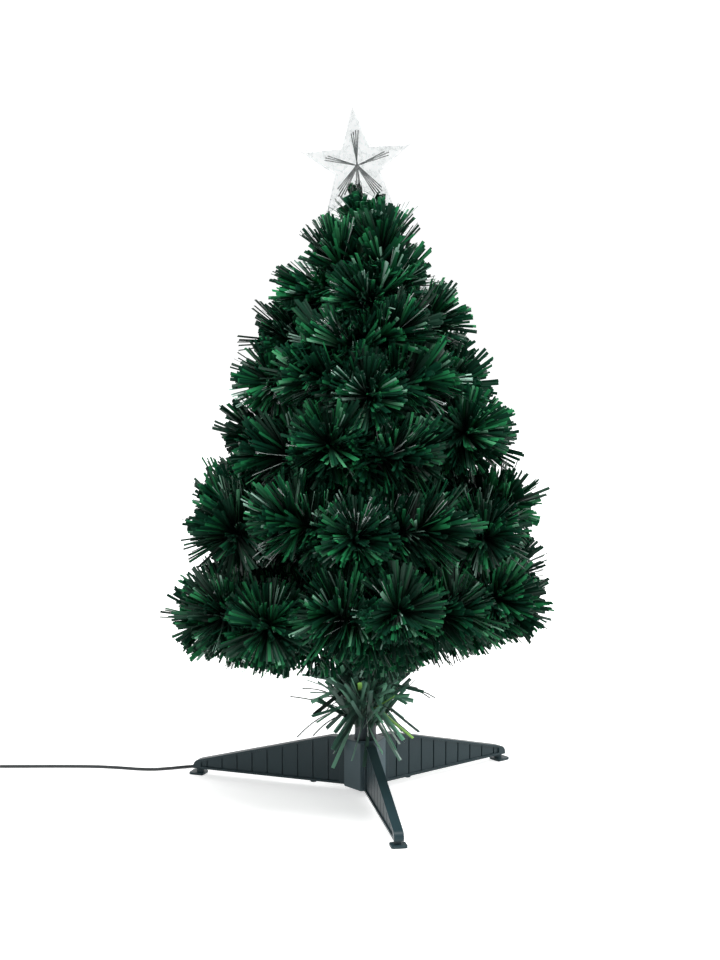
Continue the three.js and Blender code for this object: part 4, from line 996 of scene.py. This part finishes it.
class TREE_OT_stage(bpy.types.Operator):
    """Sets up the pale floor, the light and the camera"""

    bl_idname = "tree.stage"
    bl_label = "Stage"

    def execute(self, context):
        scene = context.scene
        material, tree, place = new_material("pale matt floor")
        if tree:
            drift = noise(tree, place, 1.5, 2)
            tint = add_node(
                tree, "ShaderNodeMix", {"data_type": "RGBA"},
                {"A": linear("#f0f0ef"), "B": linear("#f3f3f2")}, {"Factor": drift},
            )
            seen = ray_share(tree, "Is Camera Ray", "Is Transmission Ray", "Is Glossy Ray")
            glow = add_node(tree, "ShaderNodeMath", {"operation": "MULTIPLY"}, {1: 0.57}, {0: seen})
            finish_material(
                tree, {"Roughness": 0.95, "Specular IOR Level": 0.0, "Emission Color": (1, 1, 1, 1)},
                {"Base Color": tint.outputs["Result"], "Emission Strength": glow.outputs[0]},
            )
        # The profile runs level and then bends up into the backdrop.
        bend = np.linspace(0, math.pi / 2, 16)
        y = np.concatenate([[-6.0], 4.4 + 1.2 * np.sin(bend), [5.6]])
        z = np.concatenate([[0.0], 1.2 - 1.2 * np.cos(bend), [6.0]])
        x = np.array([-8.0, 8.0])
        points = np.stack([np.tile(x, len(y)), np.repeat(y, 2), np.repeat(z, 2)], 1)
        k = np.arange(len(y) - 1) * 2
        faces = np.stack([k, k + 1, k + 3, k + 2], 1)
        mesh = bpy.data.meshes.new("floor")
        mesh.from_pydata(points.tolist(), [], faces.tolist())
        mesh.materials.append(material)
        floor = bpy.data.objects.new("floor", mesh)
        scene.collection.objects.link(floor)

        world = bpy.data.worlds.new("studio")
        scene.world = world
        world.use_nodes = True
        tree = world.node_tree
        tree.nodes.clear()
        seen = ray_share(tree, "Is Camera Ray", "Is Transmission Ray")
        level = spread(tree, seen, 0.48, 1.0)
        sky = add_node(
            tree, "ShaderNodeBackground", None, {"Color": (0.97, 0.985, 1.0, 1.0)}, {"Strength": level}
        )
        add_node(tree, "ShaderNodeOutputWorld", links={"Surface": sky.outputs[0]})

        # Soft area lamps: name, place in metres, power in watts and width in metres.
        for name, place, power, width in (
            ("key", (0.15, -1.0, 2.7), 32, 1.0),
            ("top", (-0.1, -0.5, 1.3), 8.5, 0.4),
            ("fill", (1.9, -1.2, 1.3), 8, 1.4),
            ("left edge", (-1.7, 1.1, 1.0), 8, 1.0),
            ("right edge", (1.7, 0.6, 1.0), 26, 1.0),
            ("back", (0.5, 1.6, 2.2), 20, 1.2),
        ):
            light = bpy.data.lights.new(name, "AREA")
            light.energy = power
            light.size = width
            lamp = bpy.data.objects.new(name, light)
            lamp.location = place
            lamp.rotation_euler = (Vector((0, 0, 0.3)) - Vector(place)).to_track_quat("-Z", "Y").to_euler()
            scene.collection.objects.link(lamp)

        # The view of the photo, found from the stand's three feet and the trunk.
        camera = bpy.data.cameras.new("camera")
        camera.lens = 94.17
        camera.sensor_width = 36
        camera.clip_end = 50
        eye = bpy.data.objects.new("camera", camera)
        eye.location = (-0.005, -2.292, 0.684)
        eye.rotation_euler = (math.radians(90 - 9.56), 0, 0)
        scene.collection.objects.link(eye)
        scene.camera = eye
        scene.view_settings.view_transform = "Standard"
        return {"FINISHED"}


OPERATORS = (
    TREE_OT_stage, TREE_OT_cord, TREE_OT_stand, TREE_OT_trunk, TREE_OT_branches, TREE_OT_crown,
    TREE_OT_loose_needles, TREE_OT_star,
)


class TREE_PT_panel(bpy.types.Panel):
    """Lists the tree's sizes, colours and build steps"""

    bl_idname = "TREE_PT_panel"
    bl_label = "Table-top tree"
    bl_space_type = "VIEW_3D"
    bl_region_type = "UI"
    bl_category = "Tree"

    def draw(self, context):
        for group in (context.scene.tree_sizes, context.scene.tree_colours):
            for label in group.__annotations__:
                self.layout.prop(group, label)
        for operator in OPERATORS:
            self.layout.operator(operator.bl_idname)


CLASSES = (TreeSizes, TreeColours, *OPERATORS, TREE_PT_panel)


def register():
    """Registers the classes and the scene's properties."""
    for cls in CLASSES:
        bpy.utils.register_class(cls)
    bpy.types.Scene.tree_sizes = PointerProperty(type=TreeSizes)
    bpy.types.Scene.tree_colours = PointerProperty(type=TreeColours)


def unregister():
    """Takes the classes and the scene's properties away again."""
    del bpy.types.Scene.tree_colours
    del bpy.types.Scene.tree_sizes
    for cls in reversed(CLASSES):
        bpy.utils.unregister_class(cls)


def main():
    """Builds everything in order."""
    register()
    bpy.ops.tree.stage()
    bpy.ops.tree.cord()
    bpy.ops.tree.stand()
    bpy.ops.tree.trunk()
    bpy.ops.tree.branches()
    bpy.ops.tree.crown()
    bpy.ops.tree.loose_needles()
    bpy.ops.tree.star()


if __name__ == "__main__":
    main()
